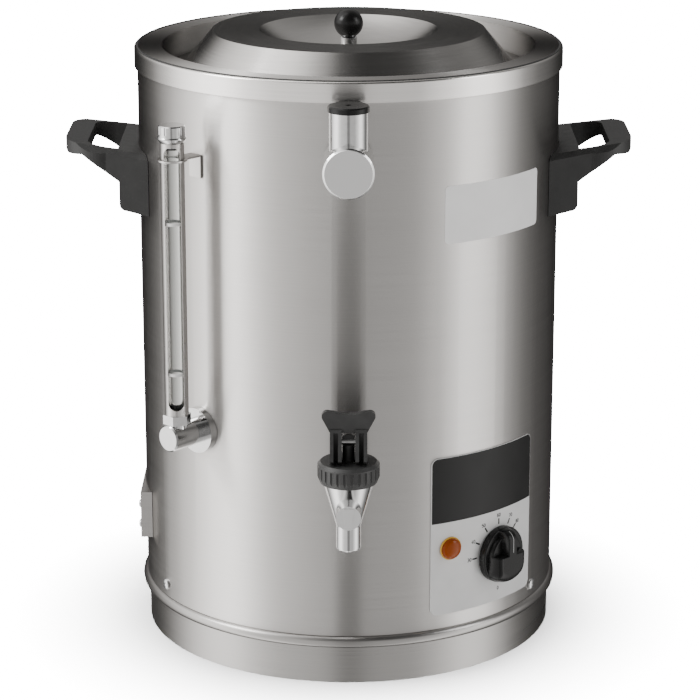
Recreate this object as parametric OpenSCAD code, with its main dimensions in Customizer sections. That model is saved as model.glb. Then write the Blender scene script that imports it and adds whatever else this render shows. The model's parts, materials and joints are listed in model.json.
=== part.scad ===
// Hot-milk urn: a round water-bath vessel with an inner pot, lid, tap, sight gauge and dial.
// Origin on the vessel axis at the standing plane, +Z up, the front faces -Y.

/* [Vessel] */
// Outer diameter of the shell
shell_d = 300; // [280:1:330]
// Sheet thickness of the shell
shell_wall = 1.2; // [0.8:0.1:2]
// Height of the top face of the rim above the standing plane
rim_z = 427; // [415:1:450]
// Thickness of the rim ring round the shell
rim_wall = 1.8; // [1.2:0.1:3]
// Height of the rim ring's outer band
rim_band_h = 14; // [10:1:20]
// Gap between the shell and the water tank
tank_gap = 6.6; // [5:0.1:9]
// Width of the water bath between tank and pot
bath_w = 15.8; // [13:0.2:20]
// Depth of the water bath under the pot
bath_depth = 18.6; // [16:0.2:22]
// Step from the pot's wall out to its mouth
pot_step = 8.5; // [6:0.5:11]
// Depth of the ledge that carries the lid below the rim
lid_ledge_depth = 19; // [14:1:24]
// Sheet thickness of pot, tank, lid and base pan
sheet = 1.2; // [0.8:0.1:1.5]
// Room between the thermostat and the tank's underside
tank_room = 7.5; // [6.5:0.1:12]

/* [Base] */
// Height of the middle of the base bead
bead_z = 31; // [26:1:36]
// Radius of the bead's round
bead_r = 4.4; // [3:0.1:5.5]
// How far the bead stands out past the shell
bead_out = 3.2; // [1.5:0.1:4]
// How far the skirt below the bead lies inside the shell's outer face
skirt_in = 1.5; // [0.5:0.1:3]
// Width of the in-turned foot of the base pan
foot_flange_w = 14; // [8:1:25]
// Height of the base pan's neck inside the shell
pan_neck_h = 15; // [12:1:18]
// Head diameter of the base screws
base_screw_head_d = 8; // [6:0.5:10]

/* [Lid] */
// Gap round the lid's flange
lid_play = 2; // [1:0.1:3.5]
// Diameter of the lid's raised flat
lid_flat_d = 194; // [180:1:210]
// Diameter of the dished recess
lid_dish_d = 127; // [110:1:140]
// Height of the raised flat above the rim
lid_rise = 9.7; // [5:0.1:14]
// Depth of the dished recess
lid_dish_depth = 20; // [15:1:24]
// Diameter of the ball knob
knob_ball_d = 20.6; // [18:0.2:24]
// Diameter of the knob's stem
knob_stem_d = 12; // [9:0.5:14]
// Height of the knob stem above the dish, up to the ball's flat
knob_stem_h = 15; // [12:0.5:20]

/* [Handles] */
// Reach of the handles out of the shell
handle_out = 50; // [44:1:62]
// Half width of a handle at its outer end
handle_half_w = 49; // [44:1:54]
// Half width of a handle at the shell
handle_root_half_w = 56; // [52:1:60]
// Width of the bars round the finger gap
handle_bar_w = 6.5; // [5:0.5:12]
// Width of the outer grip bar
handle_grip_w = 16; // [12:0.5:18]
// Thickness of the grip bar
handle_grip_t = 9; // [7:0.5:14]
// Depth of the grip's top below the rim
handle_drop = 62.5; // [52:0.5:75]
// Rise of the grip from the shell to its outer end
handle_tilt_rise = 7; // [0:0.5:10]
// Height of a handle with its foot block
handle_h = 54.5; // [48:0.5:60]
// Reach of the foot block out of the shell
handle_foot_out = 11; // [8:0.5:14]

/* [Tap] */
// Distance of the tap's axis out of the shell
tap_reach = 35; // [31:0.5:45]
// Height of the tap's shank above the pot's floor
tap_rise = 13; // [11.5:0.5:17]
// Outer diameter of the shank
tap_shank_d = 14; // [12:0.5:15]
// Bore of the shank
tap_shank_bore = 9.5; // [7:0.5:10]
// Diameter of the collar over its ribs
collar_d = 42; // [40:0.5:46]
// Height of the collar
collar_h = 14.5; // [12:0.5:18]
// Height of the collar's underside above the shank
collar_rise = 21; // [19:0.5:25]
// Number of ribs on the collar
collar_ribs = 28; // [16:1:36]
// Diameter of the spout
spout_d = 17; // [16:0.5:20]
// Bore of the spout
spout_bore = 10; // [8.5:0.5:11]
// Depth of the spout's mouth below the shank
spout_drop = 27.5; // [25:0.5:34]
// Top diameter of the tap's tapered body
tap_body_d = 36; // [34:0.5:38]
// Width of the wing lever
lever_w = 36; // [30:1:42]
// Height of the wing lever above its pin
lever_h = 22; // [18:0.5:27]
// Height of the lever pin above the collar
lever_pin_rise = 13.5; // [10:0.5:16]
// Diameter of the lever pin
lever_pin_d = 4; // [3:0.1:5]
// Diameter of the tap's stem
tap_stem_d = 8; // [6:0.2:9]
// Wire diameter of the tap's spring
spring_wire = 1.2; // [0.8:0.1:1.4]
// Turns of the tap's spring
spring_turns = 6; // [4:1:7]

/* [Sight gauge] */
// Direction of the gauge from the front, negative to the left
gauge_phi = -43.5; // [-50:0.5:-38]
// Distance of the gauge's axis out of the shell
gauge_reach = 22; // [19:0.5:28]
// Height of the gauge's elbow
gauge_z = 174; // [165:1:185]
// Outer diameter of the elbow
gauge_elbow_d = 19; // [17:0.5:21]
// Outer diameter of the slotted sleeve
gauge_sleeve_d = 16.4; // [15:0.2:18]
// Wall of the slotted sleeve
gauge_sleeve_wall = 1.4; // [1:0.1:1.8]
// Outer diameter of the glass
gauge_glass_d = 11.6; // [10:0.2:12.2]
// Wall of the glass
gauge_glass_wall = 1.4; // [1:0.1:2]
// Depth of the sleeve's top below the rim
gauge_top_drop = 46; // [36:1:60]
// Width of the window slot
gauge_slot_w = 10.9; // [9:0.1:11.5]
// Depth of the upper level ring below the sleeve's top
gauge_ring_high_drop = 55.5; // [40:0.5:75]
// Height of the lower level ring above the elbow
gauge_ring_low_rise = 45.5; // [35:0.5:70]
// Diameter of the top cap
gauge_cap_d = 20; // [19:0.5:24]
// Height of the top cap above the sleeve
gauge_cap_h = 12; // [8:0.5:16]
// Distance of the clip below the sleeve's top
gauge_clip_drop = 12.4; // [8:0.2:18]

/* [Filler] */
// Depth of the filler stub below the rim
filler_drop = 53; // [47:1:62]
// Diameter of the filler stub
filler_stub_d = 34; // [32:0.5:38]
// Length of the filler stub out of the shell
filler_stub_len = 42; // [37:0.5:50]
// Gap between the filler tube and the shell
filler_tube_gap = 7; // [5:0.5:8]
// Outer diameter of the filler tube
filler_tube_d = 26; // [24:0.5:27]
// Wall of the filler tube
filler_tube_wall = 2; // [1.5:0.1:2.5]
// Height of the filler tube's mouth above the stub
filler_tube_h = 37; // [30:1:41]
// Diameter of the filler cap
filler_cap_d = 27.7; // [27:0.1:30]
// Thickness of the filler cap's head
filler_cap_t = 4; // [3:0.5:6]

/* [Controls] */
// Direction of the panel's middle from the front
panel_phi = 40.5; // [36:0.5:46]
// Width of the panel along the shell
panel_w = 96; // [90:1:104]
// Height of the panel
panel_h = 115.5; // [105:0.5:120]
// Height of the panel's lower edge
panel_z = 46; // [44:1:52]
// Thickness of the panel
panel_t = 0.8; // [0.5:0.1:1.2]
// Direction of the dial from the front
dial_phi = 44.5; // [42:0.5:47]
// Height of the dial's shaft
dial_z = 81.5; // [78:0.5:86]
// Diameter of the dial
dial_d = 40.5; // [38:0.5:46]
// Depth of the dial
dial_depth = 14; // [13:0.5:20]
// Diameter of the thermostat's shaft
dial_shaft_d = 6; // [5:0.5:8]
// Direction of the lamp from the front
lamp_phi = 28; // [26:0.5:30]
// Height of the lamp
lamp_z = 94.6; // [88:0.1:100]
// Diameter of the lamp's lens
lamp_d = 15; // [12:0.5:16]

/* [Side cover and mains inlet] */
// Half width of the flat side cover
cover_half_w = 46; // [40:1:52]
// How far the cover's flat face stands out past the shell
cover_out = 1.4; // [1:0.1:6]
// Height of the cover's lower edge
cover_z = 70.5; // [62:0.5:74]
// Height of the cover
cover_h = 34.5; // [28:0.5:37]
// Wall of the cover
cover_wall = 1.6; // [1.2:0.1:2]
// Diameter of the cable gland
gland_d = 14; // [12:0.5:18]

/* [Clearances] */
// Gap between curved faces that are fixed to each other
fit_gap = 0.2; // [0.1:0.05:0.3]
// Gap between pieces that move on each other
run_gap = 0.3; // [0.2:0.05:0.5]
// Radial play of pins and shafts in their bores
pin_play = 0.06; // [0.02:0.01:0.1]

/* [Hidden] */
$fn = 96;

// Radii and heights that follow from the sizes above
shell_r = shell_d / 2;
shell_ri = shell_r - shell_wall;
tank_ro = shell_ri - tank_gap;
tank_r = tank_ro - sheet;
pot_ro = tank_r - bath_w;
pot_r = pot_ro - sheet;
pot_mouth_r = pot_r + pot_step;
pot_mouth_ro = pot_mouth_r + sheet;
lid_r = pot_mouth_r - lid_play;
thermostat_w = 36;
tank_floor_z = dial_z + thermostat_w / 2 + tank_room;
pot_floor_z = tank_floor_z + bath_depth + 2 * sheet;
tap_shank_z = pot_floor_z + tap_rise;
spout_z = tap_shank_z - spout_drop;
collar_z = tap_shank_z + collar_rise;
collar_top_z = collar_z + collar_h;
lever_pin_z = collar_top_z + lever_pin_rise;
lever_top_z = lever_pin_z + lever_h;
handle_reach = shell_r + handle_out;
handle_top_z = rim_z - handle_drop;
handle_foot_z = handle_top_z - handle_h;
filler_z = rim_z - filler_drop;
filler_top_z = filler_z + filler_tube_h;
gauge_top_z = rim_z - gauge_top_drop;
gauge_ring_high_z = gauge_top_z - gauge_ring_high_drop;
gauge_ring_low_z = gauge_z + gauge_ring_low_rise;

// Vessel
seat_r = shell_r + fit_gap;
gasket_t = 0.6;
rim_ledge_z = rim_z - sheet - gasket_t - sheet;
rim_r = seat_r + rim_wall;
rim_lip_w = 2.1;
rim_ledge_w = 12;
pot_flange_gap = 0.4;
pot_flange_r = rim_r - rim_lip_w - pot_flange_gap;
pot_corner_r = 6;
lid_ledge_z = rim_z - lid_ledge_depth;
tank_corner_r = 10;
gasket_inset = 2;
gasket_w = 6.5;

// Base
skirt_r = shell_r - skirt_in;
bead_c = shell_r + bead_out - bead_r;
neck_r = shell_ri - fit_gap;
shell_z = bead_z + bead_r;
neck_top_z = shell_z + pan_neck_h;
base_screw_z = shell_z + 0.6 * pan_neck_h;
base_screw_phis = [-61, 61, 180];
screw_d = 4;
screw_head_h = 2.6;
screw_len = 9;
screw_cross_w = 1;
screw_cross_depth = 1.1;
vent_d = 8;
vent_ring_r = 70;
vents = 12;

// Lid
lid_z = lid_ledge_z + run_gap;
lid_flat_z = rim_z + lid_rise;
lid_dish_z = lid_flat_z - lid_dish_depth;
lid_cone_slope = 0.85;
lid_foot_r = lid_flat_d / 2 + (lid_flat_z - lid_z - sheet) * lid_cone_slope;
knob_seat_r = 10;
knob_screw_d = 5;
knob_screw_head_d = 10;
knob_screw_head_h = 3;
knob_screw_bite = 9;
knob_flat_r = 5.2;
knob_flat_z = lid_dish_z + knob_stem_h;
knob_ball_z = knob_flat_z + sqrt(pow(knob_ball_d / 2, 2) - pow(knob_flat_r, 2));

// Handles
handle_corner_r = 26;
handle_root_x = shell_r - 22;
handle_foot_x = shell_r + handle_foot_out;
handle_gusset_drop = 27.5;
handle_gusset_in = 13;
handle_gap_x = handle_reach - handle_grip_w;
handle_gap_r = 14;
handle_edge = 2.2;
handle_chamfer = 4;
handle_corner_x = handle_reach - handle_corner_r;
handle_lean = atan2(handle_root_half_w - handle_half_w, handle_corner_x - handle_root_x);
handle_slope = handle_tilt_rise / handle_out;
handle_root_top_z = handle_top_z - handle_slope * (handle_reach - handle_root_x);
handle_foot_rise = 6;
handle_bolt_d = 5;
handle_bolt_cover = 2.5;
handle_bolt_len = shell_wall + handle_foot_out - handle_bolt_cover;
handle_bolt_head_d = 9;
handle_bolt_head_h = 3;
handle_bolt_phi = 10;
handle_bolt_z = handle_foot_z + 18;
handle_screw_sides = [-1, 1];

// Filler
filler_reach = shell_r + filler_stub_len;
filler_tube_r = shell_r + filler_tube_gap + filler_tube_d / 2;
filler_seal_t = 1.5;
filler_spigot_d = 22;
filler_bore_d = 16;
filler_nut_w = 28;
filler_nut_t = 6;
filler_nut_r = nut_seat(tank_r, filler_nut_w);
filler_seat_z = filler_z + 8;
filler_plug_h = 9;
filler_cap_z = filler_top_z + run_gap;
filler_cap_dimple_d = 4;

// Gauge
gauge_r = shell_r + gauge_reach;
gauge_flange_d = 32;
gauge_flange_t = 5;
gauge_flange_r = shell_r + gauge_flange_t;
gauge_end_len = 9;
gauge_end_r = gauge_r + gauge_end_len;
gauge_spigot_d = 12;
gauge_bore_d = 7;
gauge_lock_w = 18;
gauge_lock_t = 5;
gauge_lock_r = nut_seat(tank_r, gauge_lock_w);
gauge_boss_wall = 0.9;
gauge_boss_d = gauge_glass_d + 2 * fit_gap + 2 * gauge_boss_wall;
gauge_nut_w = 17;
gauge_nut_h = 6.5;
gauge_nut_z = gauge_z + gauge_elbow_d / 2 + fit_gap;
gauge_sleeve_z = gauge_nut_z + gauge_nut_h;
gauge_seal_h = 1.5;
gauge_seal_z = gauge_z + 4;
gauge_glass_z = gauge_seal_z + gauge_seal_h;
gauge_plug_h = 3;
gauge_glass_top_z = gauge_top_z - gauge_plug_h - gauge_seal_h;
gauge_glass_bore = gauge_glass_d - 2 * gauge_glass_wall;
gauge_sleeve_bore = gauge_sleeve_d - 2 * gauge_sleeve_wall;
gauge_slot_low_z = gauge_sleeve_z + 4;
gauge_slot_high_z = gauge_top_z - 2;
gauge_ring_h = 2;
gauge_clip_z = gauge_top_z - gauge_clip_drop;
gauge_clip_t = 1.2;
gauge_clip_w = 11;
gauge_clip_tab_h = 16;
gauge_clip_d = gauge_sleeve_d + 4;
gauge_notches = 10;

// Tap
tap_r = shell_r + tap_reach;
tap_flange_d = 26;
tap_flange_t = 4;
tap_flange_r = shell_r + tap_flange_t;
tap_back_nut_w = 21;
tap_back_nut_t = 6;
tap_lock_w = 19;
tap_lock_t = 5;
tap_lock_r = nut_seat(pot_r, tap_lock_w);
tap_shank_end_r = tap_lock_r - tap_lock_t - 2;
tap_boss_d = tap_shank_d + 5;
tap_boss_len = 20;
tap_boss_back_r = tap_r - tap_boss_len;
tap_boss_root = 3;
tap_shank_bite = 9;
tap_sleeve_d = tap_shank_d + 6;
tap_cone_low_z = spout_z + 17.5;
tap_cone_high_z = collar_z + 2;
tap_neck_d = tap_body_d - 4;
tap_wall = 2.5;
tap_seat_z = spout_z + 19;
tap_chamber_r = tap_neck_d / 2 - 3;
tap_chamber_z = collar_z - 6;
cup_r = spout_d / 2 - tap_wall;
tap_front_boss_d = 16.5;
tap_rib_w = 6.4;
tap_rib_t = 0.8;
tap_seam_w = 1.6;
tap_seam_t = 0.5;
tap_front_boss_rise = 5;
tap_front_boss_z = tap_shank_z + tap_front_boss_rise;
tap_front_boss_len = 30;
tap_front_boss_r = tap_r + tap_front_boss_len;
collar_r = collar_d / 2;
collar_roof_t = 4;
collar_roof_z = collar_top_z - collar_roof_t;
tap_neck_z = collar_roof_z - run_gap;
collar_flute_r = 1.3;
stem_flange_d = 19;
stem_flange_t = 2;
stem_flange_z = collar_z - 10;
stem_top = 5;
stem_nipple_d = 5;
cup_h = 10;
cup_z = tap_seat_z + run_gap;
spring_mean_r = tap_stem_d / 2 + 3.2;
spring_low_z = stem_flange_z + stem_flange_t + run_gap;
spring_high_z = collar_roof_z - run_gap;
spring_rings = 8;
spring_sides = 6;
lever_cheek_in = tap_stem_d / 2 + run_gap + 0.3;
lever_cheek_out = 12.5;
lever_heel = 8;
lever_tip = 40;
heel_lift = 5;
lever_back = 6;
lever_rib_w = 2.4;
lever_slot_depth = 5.4;
lever_foot_z = collar_top_z + run_gap;
lever_bridge_z = lever_pin_z + 7;
lever_wing_t = 4.2;
lever_lean = 4;
lever_horn_r = 3.5;

// Controls
panel_r = seat_r + panel_t;
panel_corner_r = 5;
bush_d = 9.5;
bush_hole_d = bush_d + 2 * fit_gap;
thermostat_depth = 26;
thermostat_front_r = sqrt(pow(shell_ri - fit_gap, 2) - pow(thermostat_w / 2, 2));
thermostat_nut_w = 13;
thermostat_nut_t = 2;
thermostat_nut_r = panel_r + fit_gap;
dial_r = thermostat_nut_r + run_gap;
dial_skirt_t = 5;
dial_hub_d = dial_d - 9;
dial_hub_t = 8;
dial_bar_top_w = 10;
dial_bar_low_w = 28;
dial_block_top = 3;
dial_shaft_bite = 9;
bulb_d = 6;
bulb_len = 60;
capillary_d = 2;
capillary_joint_d = 2.6;
lamp_shank_d = lamp_d - 4;
lamp_flange_t = 1.6;
lamp_dome_h = 3.5;
lamp_hole_d = lamp_shank_d + 2 * fit_gap;
lamp_body_d = lamp_shank_d + 2.5;
lamp_body_len = 22;
lamp_body_r = sqrt(pow(shell_ri - fit_gap, 2) - pow(lamp_body_d / 2, 2));
terminal_size = [44, 18, 15];
terminal_way_d = 5;
terminals = 4;

// Side cover and mains inlet
cover_x = shell_r + cover_out;
cover_screw_in = 8;
cover_screw_head_h = 2;
cover_screw_head_d = 6;
cover_screw_d = 3;
cover_screw_len = 11;
gland_phi = -150;
gland_z = 62;
gland_len = 14;
gland_tail_len = 6;
gland_flange_t = 2.5;
gland_flange_w = 2;
gland_bore = 7.5;

// Heating element
element_r = 85;
element_d = 8;
element_leg_d = element_d + 1;
element_z = tank_floor_z + sheet + 8;
element_gap_angle = 30;
element_collar_d = 15;
element_collar_h = 3;
element_leg_len = 14;
element_nut_w = 14;
element_nut_t = 6;

// Radius at which the corners of a hex nut of width w meet the inside of a round wall of radius r
function nut_seat(r, w) = sqrt(pow(r, 2) - pow(w / sqrt(3), 2)) - fit_gap / 2;
// Points of an arc
function arc(c, r, a0, a1, n = 8) =
    [for (i = [0:n]) let (a = a0 + (a1 - a0) * i / n) c + r * [cos(a), sin(a)]];
function unit(v) = v / norm(v);
// Point i of a line moved sideways by t, with mitred corners
function mitre(p, i, t) =
    let (last = len(p) - 1,
         a = i > 0 ? unit(p[i] - p[i - 1]) : unit(p[1] - p[0]),
         b = i < last ? unit(p[i + 1] - p[i]) : a,
         m = unit(a + b))
    p[i] + [m.y, -m.x] * t / (m * a);
// Closed outline of a sheet of thickness t that follows the line p, t to the right of it
function sheet_outline(p, t) = concat(p, [for (i = [len(p) - 1:-1:0]) mitre(p, i, t)]);

// Turns children to direction phi, with local -Y outward
module at_phi(phi) {
    rotate([0, 0, phi]) children();
}
// Local Z points outward from radius r at direction phi and height z, local Y up, local X right
module outward(phi, z, r) {
    at_phi(phi) translate([0, -r, z]) rotate([90, 0, 0]) children();
}
module ring(r_out, r_in, h) {
    difference() {
        cylinder(r = r_out, h = h);
        translate([0, 0, -1]) cylinder(r = r_in, h = h + 2);
    }
}
module hex(width, h) {
    cylinder(d = width * 2 / sqrt(3), h = h, $fn = 6);
}
module hex_nut(width, bore, h) {
    difference() {
        hex(width, h);
        translate([0, 0, -1]) cylinder(d = bore, h = h + 2);
    }
}
// Radial hole through every wall between two radii
module wall_hole(phi, z, d, r0, r1) {
    outward(phi, z, r0) cylinder(d = d, h = r1 - r0);
}
module vessel_core(r) {
    cylinder(r = r, h = rim_z, $fn = 240);
}
// Round-headed cross-slot screw whose head stands on local z = 0 and whose shank runs to -len
module pan_screw(d, head_d, head_h, len) {
    rim_h = 0.35 * head_h;
    cross_len = 0.6 * head_d;
    difference() {
        rotate_extrude() polygon(concat(
            [[0, -len], [d / 2, -len], [d / 2, 0], [head_d / 2, 0], [head_d / 2, rim_h]],
            [for (a = [22.5:22.5:90]) [head_d / 2 * cos(a), rim_h + (head_h - rim_h) * sin(a)]]));
        for (turn = [45, 135]) rotate([0, 0, turn])
            translate([-cross_len / 2, -screw_cross_w / 2, head_h - screw_cross_depth])
                cube([cross_len, screw_cross_w, head_h]);
    }
}

// Vessel

module base_pan() {
    skirt_turn = acos((skirt_r - bead_c) / bead_r);
    neck_turn = acos((neck_r - bead_c) / bead_r);
    line = concat([[skirt_r - foot_flange_w, 0], [skirt_r, 0]],
                  arc([bead_c, bead_z], bead_r, -skirt_turn, neck_turn, 12),
                  [[neck_r, neck_top_z]]);
    color("silver") difference() {
        rotate_extrude() polygon(sheet_outline(line, -sheet));
        for (phi = base_screw_phis) wall_hole(phi, base_screw_z, screw_d + 2 * fit_gap, neck_r - 5, shell_r);
    }
}

module bottom_plate() {
    color("gainsboro") translate([0, 0, sheet]) difference() {
        cylinder(r = skirt_r - sheet - fit_gap, h = sheet);
        for (i = [0:vents - 1]) rotate([0, 0, i * 360 / vents]) translate([vent_ring_r, 0, -1])
            cylinder(d = vent_d, h = sheet + 2);
    }
}

module base_screws() {
    color("silver") for (phi = base_screw_phis) outward(phi, base_screw_z, shell_r + fit_gap / 4)
        pan_screw(screw_d, base_screw_head_d, screw_head_h, screw_len);
}

module outer_shell() {
    color("lightgray") difference() {
        translate([0, 0, shell_z]) ring(shell_r, shell_ri, rim_ledge_z - shell_z);
        for (phi = base_screw_phis) wall_hole(phi, base_screw_z, screw_d + 2 * fit_gap, neck_r, shell_r + 5);
        for (side = [-90, 90], turn = handle_screw_sides)
            wall_hole(side + turn * handle_bolt_phi, handle_bolt_z, handle_bolt_d + 2 * fit_gap,
                      tank_ro, rim_r);
        wall_hole(0, filler_z, filler_spigot_d + 2 * fit_gap, tank_ro, rim_r);
        wall_hole(0, tap_shank_z, tap_shank_d + 2 * fit_gap, tank_ro, rim_r);
        wall_hole(gauge_phi, gauge_z, gauge_spigot_d + 2 * fit_gap, tank_ro, rim_r);
        wall_hole(dial_phi, dial_z, bush_hole_d, tank_ro, rim_r);
        wall_hole(lamp_phi, lamp_z, lamp_hole_d, tank_ro, rim_r);
        wall_hole(gland_phi, gland_z, gland_d + 2 * fit_gap, tank_ro, rim_r);
        at_cover_screws() cylinder(d = cover_screw_d + 2 * fit_gap, h = 2 * cover_screw_len, center = true);
    }
}

module rim_ring() {
    lip_r = rim_r - rim_lip_w;
    ledge_top_z = rim_ledge_z + sheet;
    color("silver") rotate_extrude() polygon(concat(
        [[seat_r, rim_z - rim_band_h], [rim_r, rim_z - rim_band_h]],
        arc([rim_r - rim_wall, rim_z - rim_wall], rim_wall, 0, 90),
        [[lip_r, rim_z], [lip_r, ledge_top_z], [tank_ro - rim_ledge_w / 2, ledge_top_z],
         [tank_ro - rim_ledge_w / 2, rim_ledge_z], [seat_r, rim_ledge_z]]));
}

module pot_gasket() {
    outer = pot_flange_r - gasket_inset;
    color("dimgray") translate([0, 0, rim_ledge_z + sheet]) ring(outer, outer - gasket_w, gasket_t);
}

module milk_pot() {
    under_z = pot_floor_z - sheet;
    line = concat([[0, under_z]],
                  arc([pot_ro - pot_corner_r, under_z + pot_corner_r], pot_corner_r, -90, 0),
                  [[pot_ro, lid_ledge_z - sheet], [pot_mouth_ro, lid_ledge_z - sheet],
                   [pot_mouth_ro, rim_z - sheet], [pot_flange_r, rim_z - sheet]]);
    color("lightgray") difference() {
        rotate_extrude() polygon(sheet_outline(line, -sheet));
        wall_hole(0, tap_shank_z, tap_shank_d + 2 * fit_gap, tap_shank_end_r, tank_r);
    }
}

module water_tank() {
    line = concat([[0, tank_floor_z]],
                  arc([tank_ro - tank_corner_r, tank_floor_z + tank_corner_r], tank_corner_r, -90, 0),
                  [[tank_ro, rim_ledge_z]]);
    color("lightgray") difference() {
        rotate_extrude() polygon(sheet_outline(line, -sheet));
        wall_hole(0, tap_shank_z, tap_shank_d + 2 * fit_gap, pot_ro, shell_r);
        wall_hole(0, filler_z, filler_spigot_d + 2 * fit_gap, pot_ro, shell_r);
        wall_hole(gauge_phi, gauge_z, gauge_spigot_d + 2 * fit_gap, pot_ro, shell_r);
        at_element_legs() translate([0, 0, tank_floor_z - 1])
            cylinder(d = element_leg_d + 2 * fit_gap, h = sheet + 2);
    }
}

// Heating element, one round tube with both legs through the tank's floor

module at_element_legs() {
    for (turn = [-1, 1]) rotate([0, 0, turn * element_gap_angle / 2])
        translate([0, element_r, 0]) children();
}
module heating_element() {
    floor_z = tank_floor_z + sheet;
    color("slategray") {
        translate([0, 0, element_z]) rotate([0, 0, 90 + element_gap_angle / 2])
            rotate_extrude(angle = 360 - element_gap_angle) translate([element_r, 0]) circle(d = element_d);
        at_element_legs() {
            translate([0, 0, tank_floor_z - element_leg_len])
                cylinder(d = element_leg_d,
                         h = element_z + element_leg_d / 2 - tank_floor_z + element_leg_len);
            translate([0, 0, floor_z]) cylinder(d = element_collar_d, h = element_collar_h);
        }
    }
}
module element_nuts() {
    color("goldenrod") at_element_legs() translate([0, 0, tank_floor_z - element_nut_t])
        hex_nut(element_nut_w, element_leg_d + 2 * fit_gap, element_nut_t);
}

// Lid with its ball knob

module lid() {
    dish_w = lid_dish_d / 2 - knob_seat_r;
    dish_r = (pow(dish_w, 2) + pow(lid_dish_depth, 2)) / (2 * lid_dish_depth);
    dish_turn = asin(dish_w / dish_r);
    line = concat([[0, lid_dish_z]],
                  arc([knob_seat_r, lid_dish_z + dish_r], dish_r, -90, -90 + dish_turn, 10),
                  [[lid_flat_d / 2, lid_flat_z], [lid_foot_r, lid_z + sheet], [lid_r, lid_z + sheet]]);
    color("silver") difference() {
        rotate_extrude() polygon(sheet_outline(line, sheet));
        translate([0, 0, lid_dish_z - lid_dish_depth])
            cylinder(d = knob_screw_d + 2 * fit_gap, h = 2 * lid_dish_depth);
    }
}
module lid_knob_stem() {
    edge = 1;
    color("silver") translate([0, 0, lid_dish_z]) rotate_extrude() polygon([
        [knob_screw_d / 2 + fit_gap, 0], [knob_stem_d / 2, 0], [knob_stem_d / 2, knob_stem_h - edge],
        [knob_stem_d / 2 - edge, knob_stem_h], [knob_screw_d / 2 + fit_gap, knob_stem_h]]);
}
module lid_knob_ball() {
    color("black") difference() {
        translate([0, 0, knob_ball_z]) sphere(d = knob_ball_d);
        translate([0, 0, knob_flat_z - knob_ball_d]) cylinder(d = knob_ball_d, h = knob_ball_d);
        translate([0, 0, knob_flat_z - 1])
            cylinder(d = knob_screw_d + 2 * fit_gap, h = knob_screw_bite + 1 + run_gap);
    }
}
module lid_knob_screw() {
    head_z = lid_dish_z - sheet - knob_screw_head_h;
    color("silver") translate([0, 0, head_z]) {
        cylinder(d = knob_screw_head_d, h = knob_screw_head_h);
        cylinder(d = knob_screw_d, h = knob_flat_z + knob_screw_bite - head_z);
    }
}

// Handles

module handle_plan() {
    corner_y = handle_half_w - handle_corner_r;
    polygon(concat([[handle_root_x, -handle_root_half_w]],
                   arc([handle_corner_x, -corner_y], handle_corner_r, -90 - handle_lean, 0, 20),
                   arc([handle_corner_x, corner_y], handle_corner_r, 0, 90 + handle_lean, 20),
                   [[handle_root_x, handle_root_half_w]]));
}
module handle_side() {
    grip_low_z = handle_top_z - handle_grip_t;
    round_r = 5;
    polygon(concat([[handle_root_x, handle_foot_z]],
                   arc([handle_foot_x - round_r, handle_foot_z + handle_foot_rise + round_r], round_r,
                       -90, 0),
                   [[handle_foot_x, handle_top_z - handle_gusset_drop],
                    [handle_reach - handle_gusset_in, grip_low_z],
                    [handle_reach - handle_edge, grip_low_z - 1],
                    [handle_reach + 1, grip_low_z + handle_edge],
                    [handle_reach + 1, handle_top_z + handle_slope],
                    [handle_root_x, handle_root_top_z]]));
}
module handle_gap_plan() {
    low_x = handle_foot_x + 1;
    corner_y = handle_half_w - handle_bar_w - handle_gap_r;
    corner_x = handle_gap_x - handle_gap_r;
    polygon(concat(arc([corner_x, -corner_y], handle_gap_r, -90, 0, 14),
                   arc([corner_x, corner_y], handle_gap_r, 0, 90, 14),
                   [[low_x, handle_half_w - handle_bar_w], [low_x, handle_bar_w - handle_half_w]]));
}
// Square bar along the upper front edge, set on its corner to cut the chamfer
module handle_chamfer_bar() {
    side = handle_chamfer * sqrt(2);
    rise = atan(handle_slope * cos(handle_lean));
    translate([handle_root_x, -handle_root_half_w, handle_root_top_z]) rotate([0, -rise, handle_lean])
        rotate([45, 0, 0]) translate([0, -side / 2, -side / 2])
            cube([2 * (handle_reach - handle_root_x), side, side]);
}
module handle_right_solid() {
    high = handle_top_z - handle_foot_z + 20;
    difference() {
        intersection() {
            translate([0, 0, handle_foot_z - 10]) linear_extrude(high) handle_plan();
            rotate([90, 0, 0]) translate([0, 0, -handle_root_half_w - 1])
                linear_extrude(2 * handle_root_half_w + 2) handle_side();
        }
        translate([0, 0, handle_foot_z - 10]) linear_extrude(high) handle_gap_plan();
        handle_chamfer_bar();
        mirror([0, 1, 0]) handle_chamfer_bar();
        vessel_core(seat_r);
        for (turn = handle_screw_sides)
            wall_hole(90 + turn * handle_bolt_phi, handle_bolt_z, handle_bolt_d + 2 * fit_gap, shell_ri,
                      shell_ri + handle_bolt_len + run_gap);
    }
}
module handle_left() {
    color([0.12, 0.12, 0.12]) mirror([1, 0, 0]) handle_right_solid();
}
module handle_right() {
    color([0.12, 0.12, 0.12]) handle_right_solid();
}
module handle_bolts() {
    head_r = sqrt(pow(shell_ri, 2) - pow(handle_bolt_head_d / 2, 2)) - fit_gap / 4;
    color("silver") for (side = [-90, 90], turn = handle_screw_sides)
        outward(side + turn * handle_bolt_phi, handle_bolt_z, head_r) {
            cylinder(d = handle_bolt_d, h = handle_bolt_len);
            translate([0, 0, -handle_bolt_head_h]) cylinder(d = handle_bolt_head_d, h = handle_bolt_head_h);
        }
}

// Filler of the water bath

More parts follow.
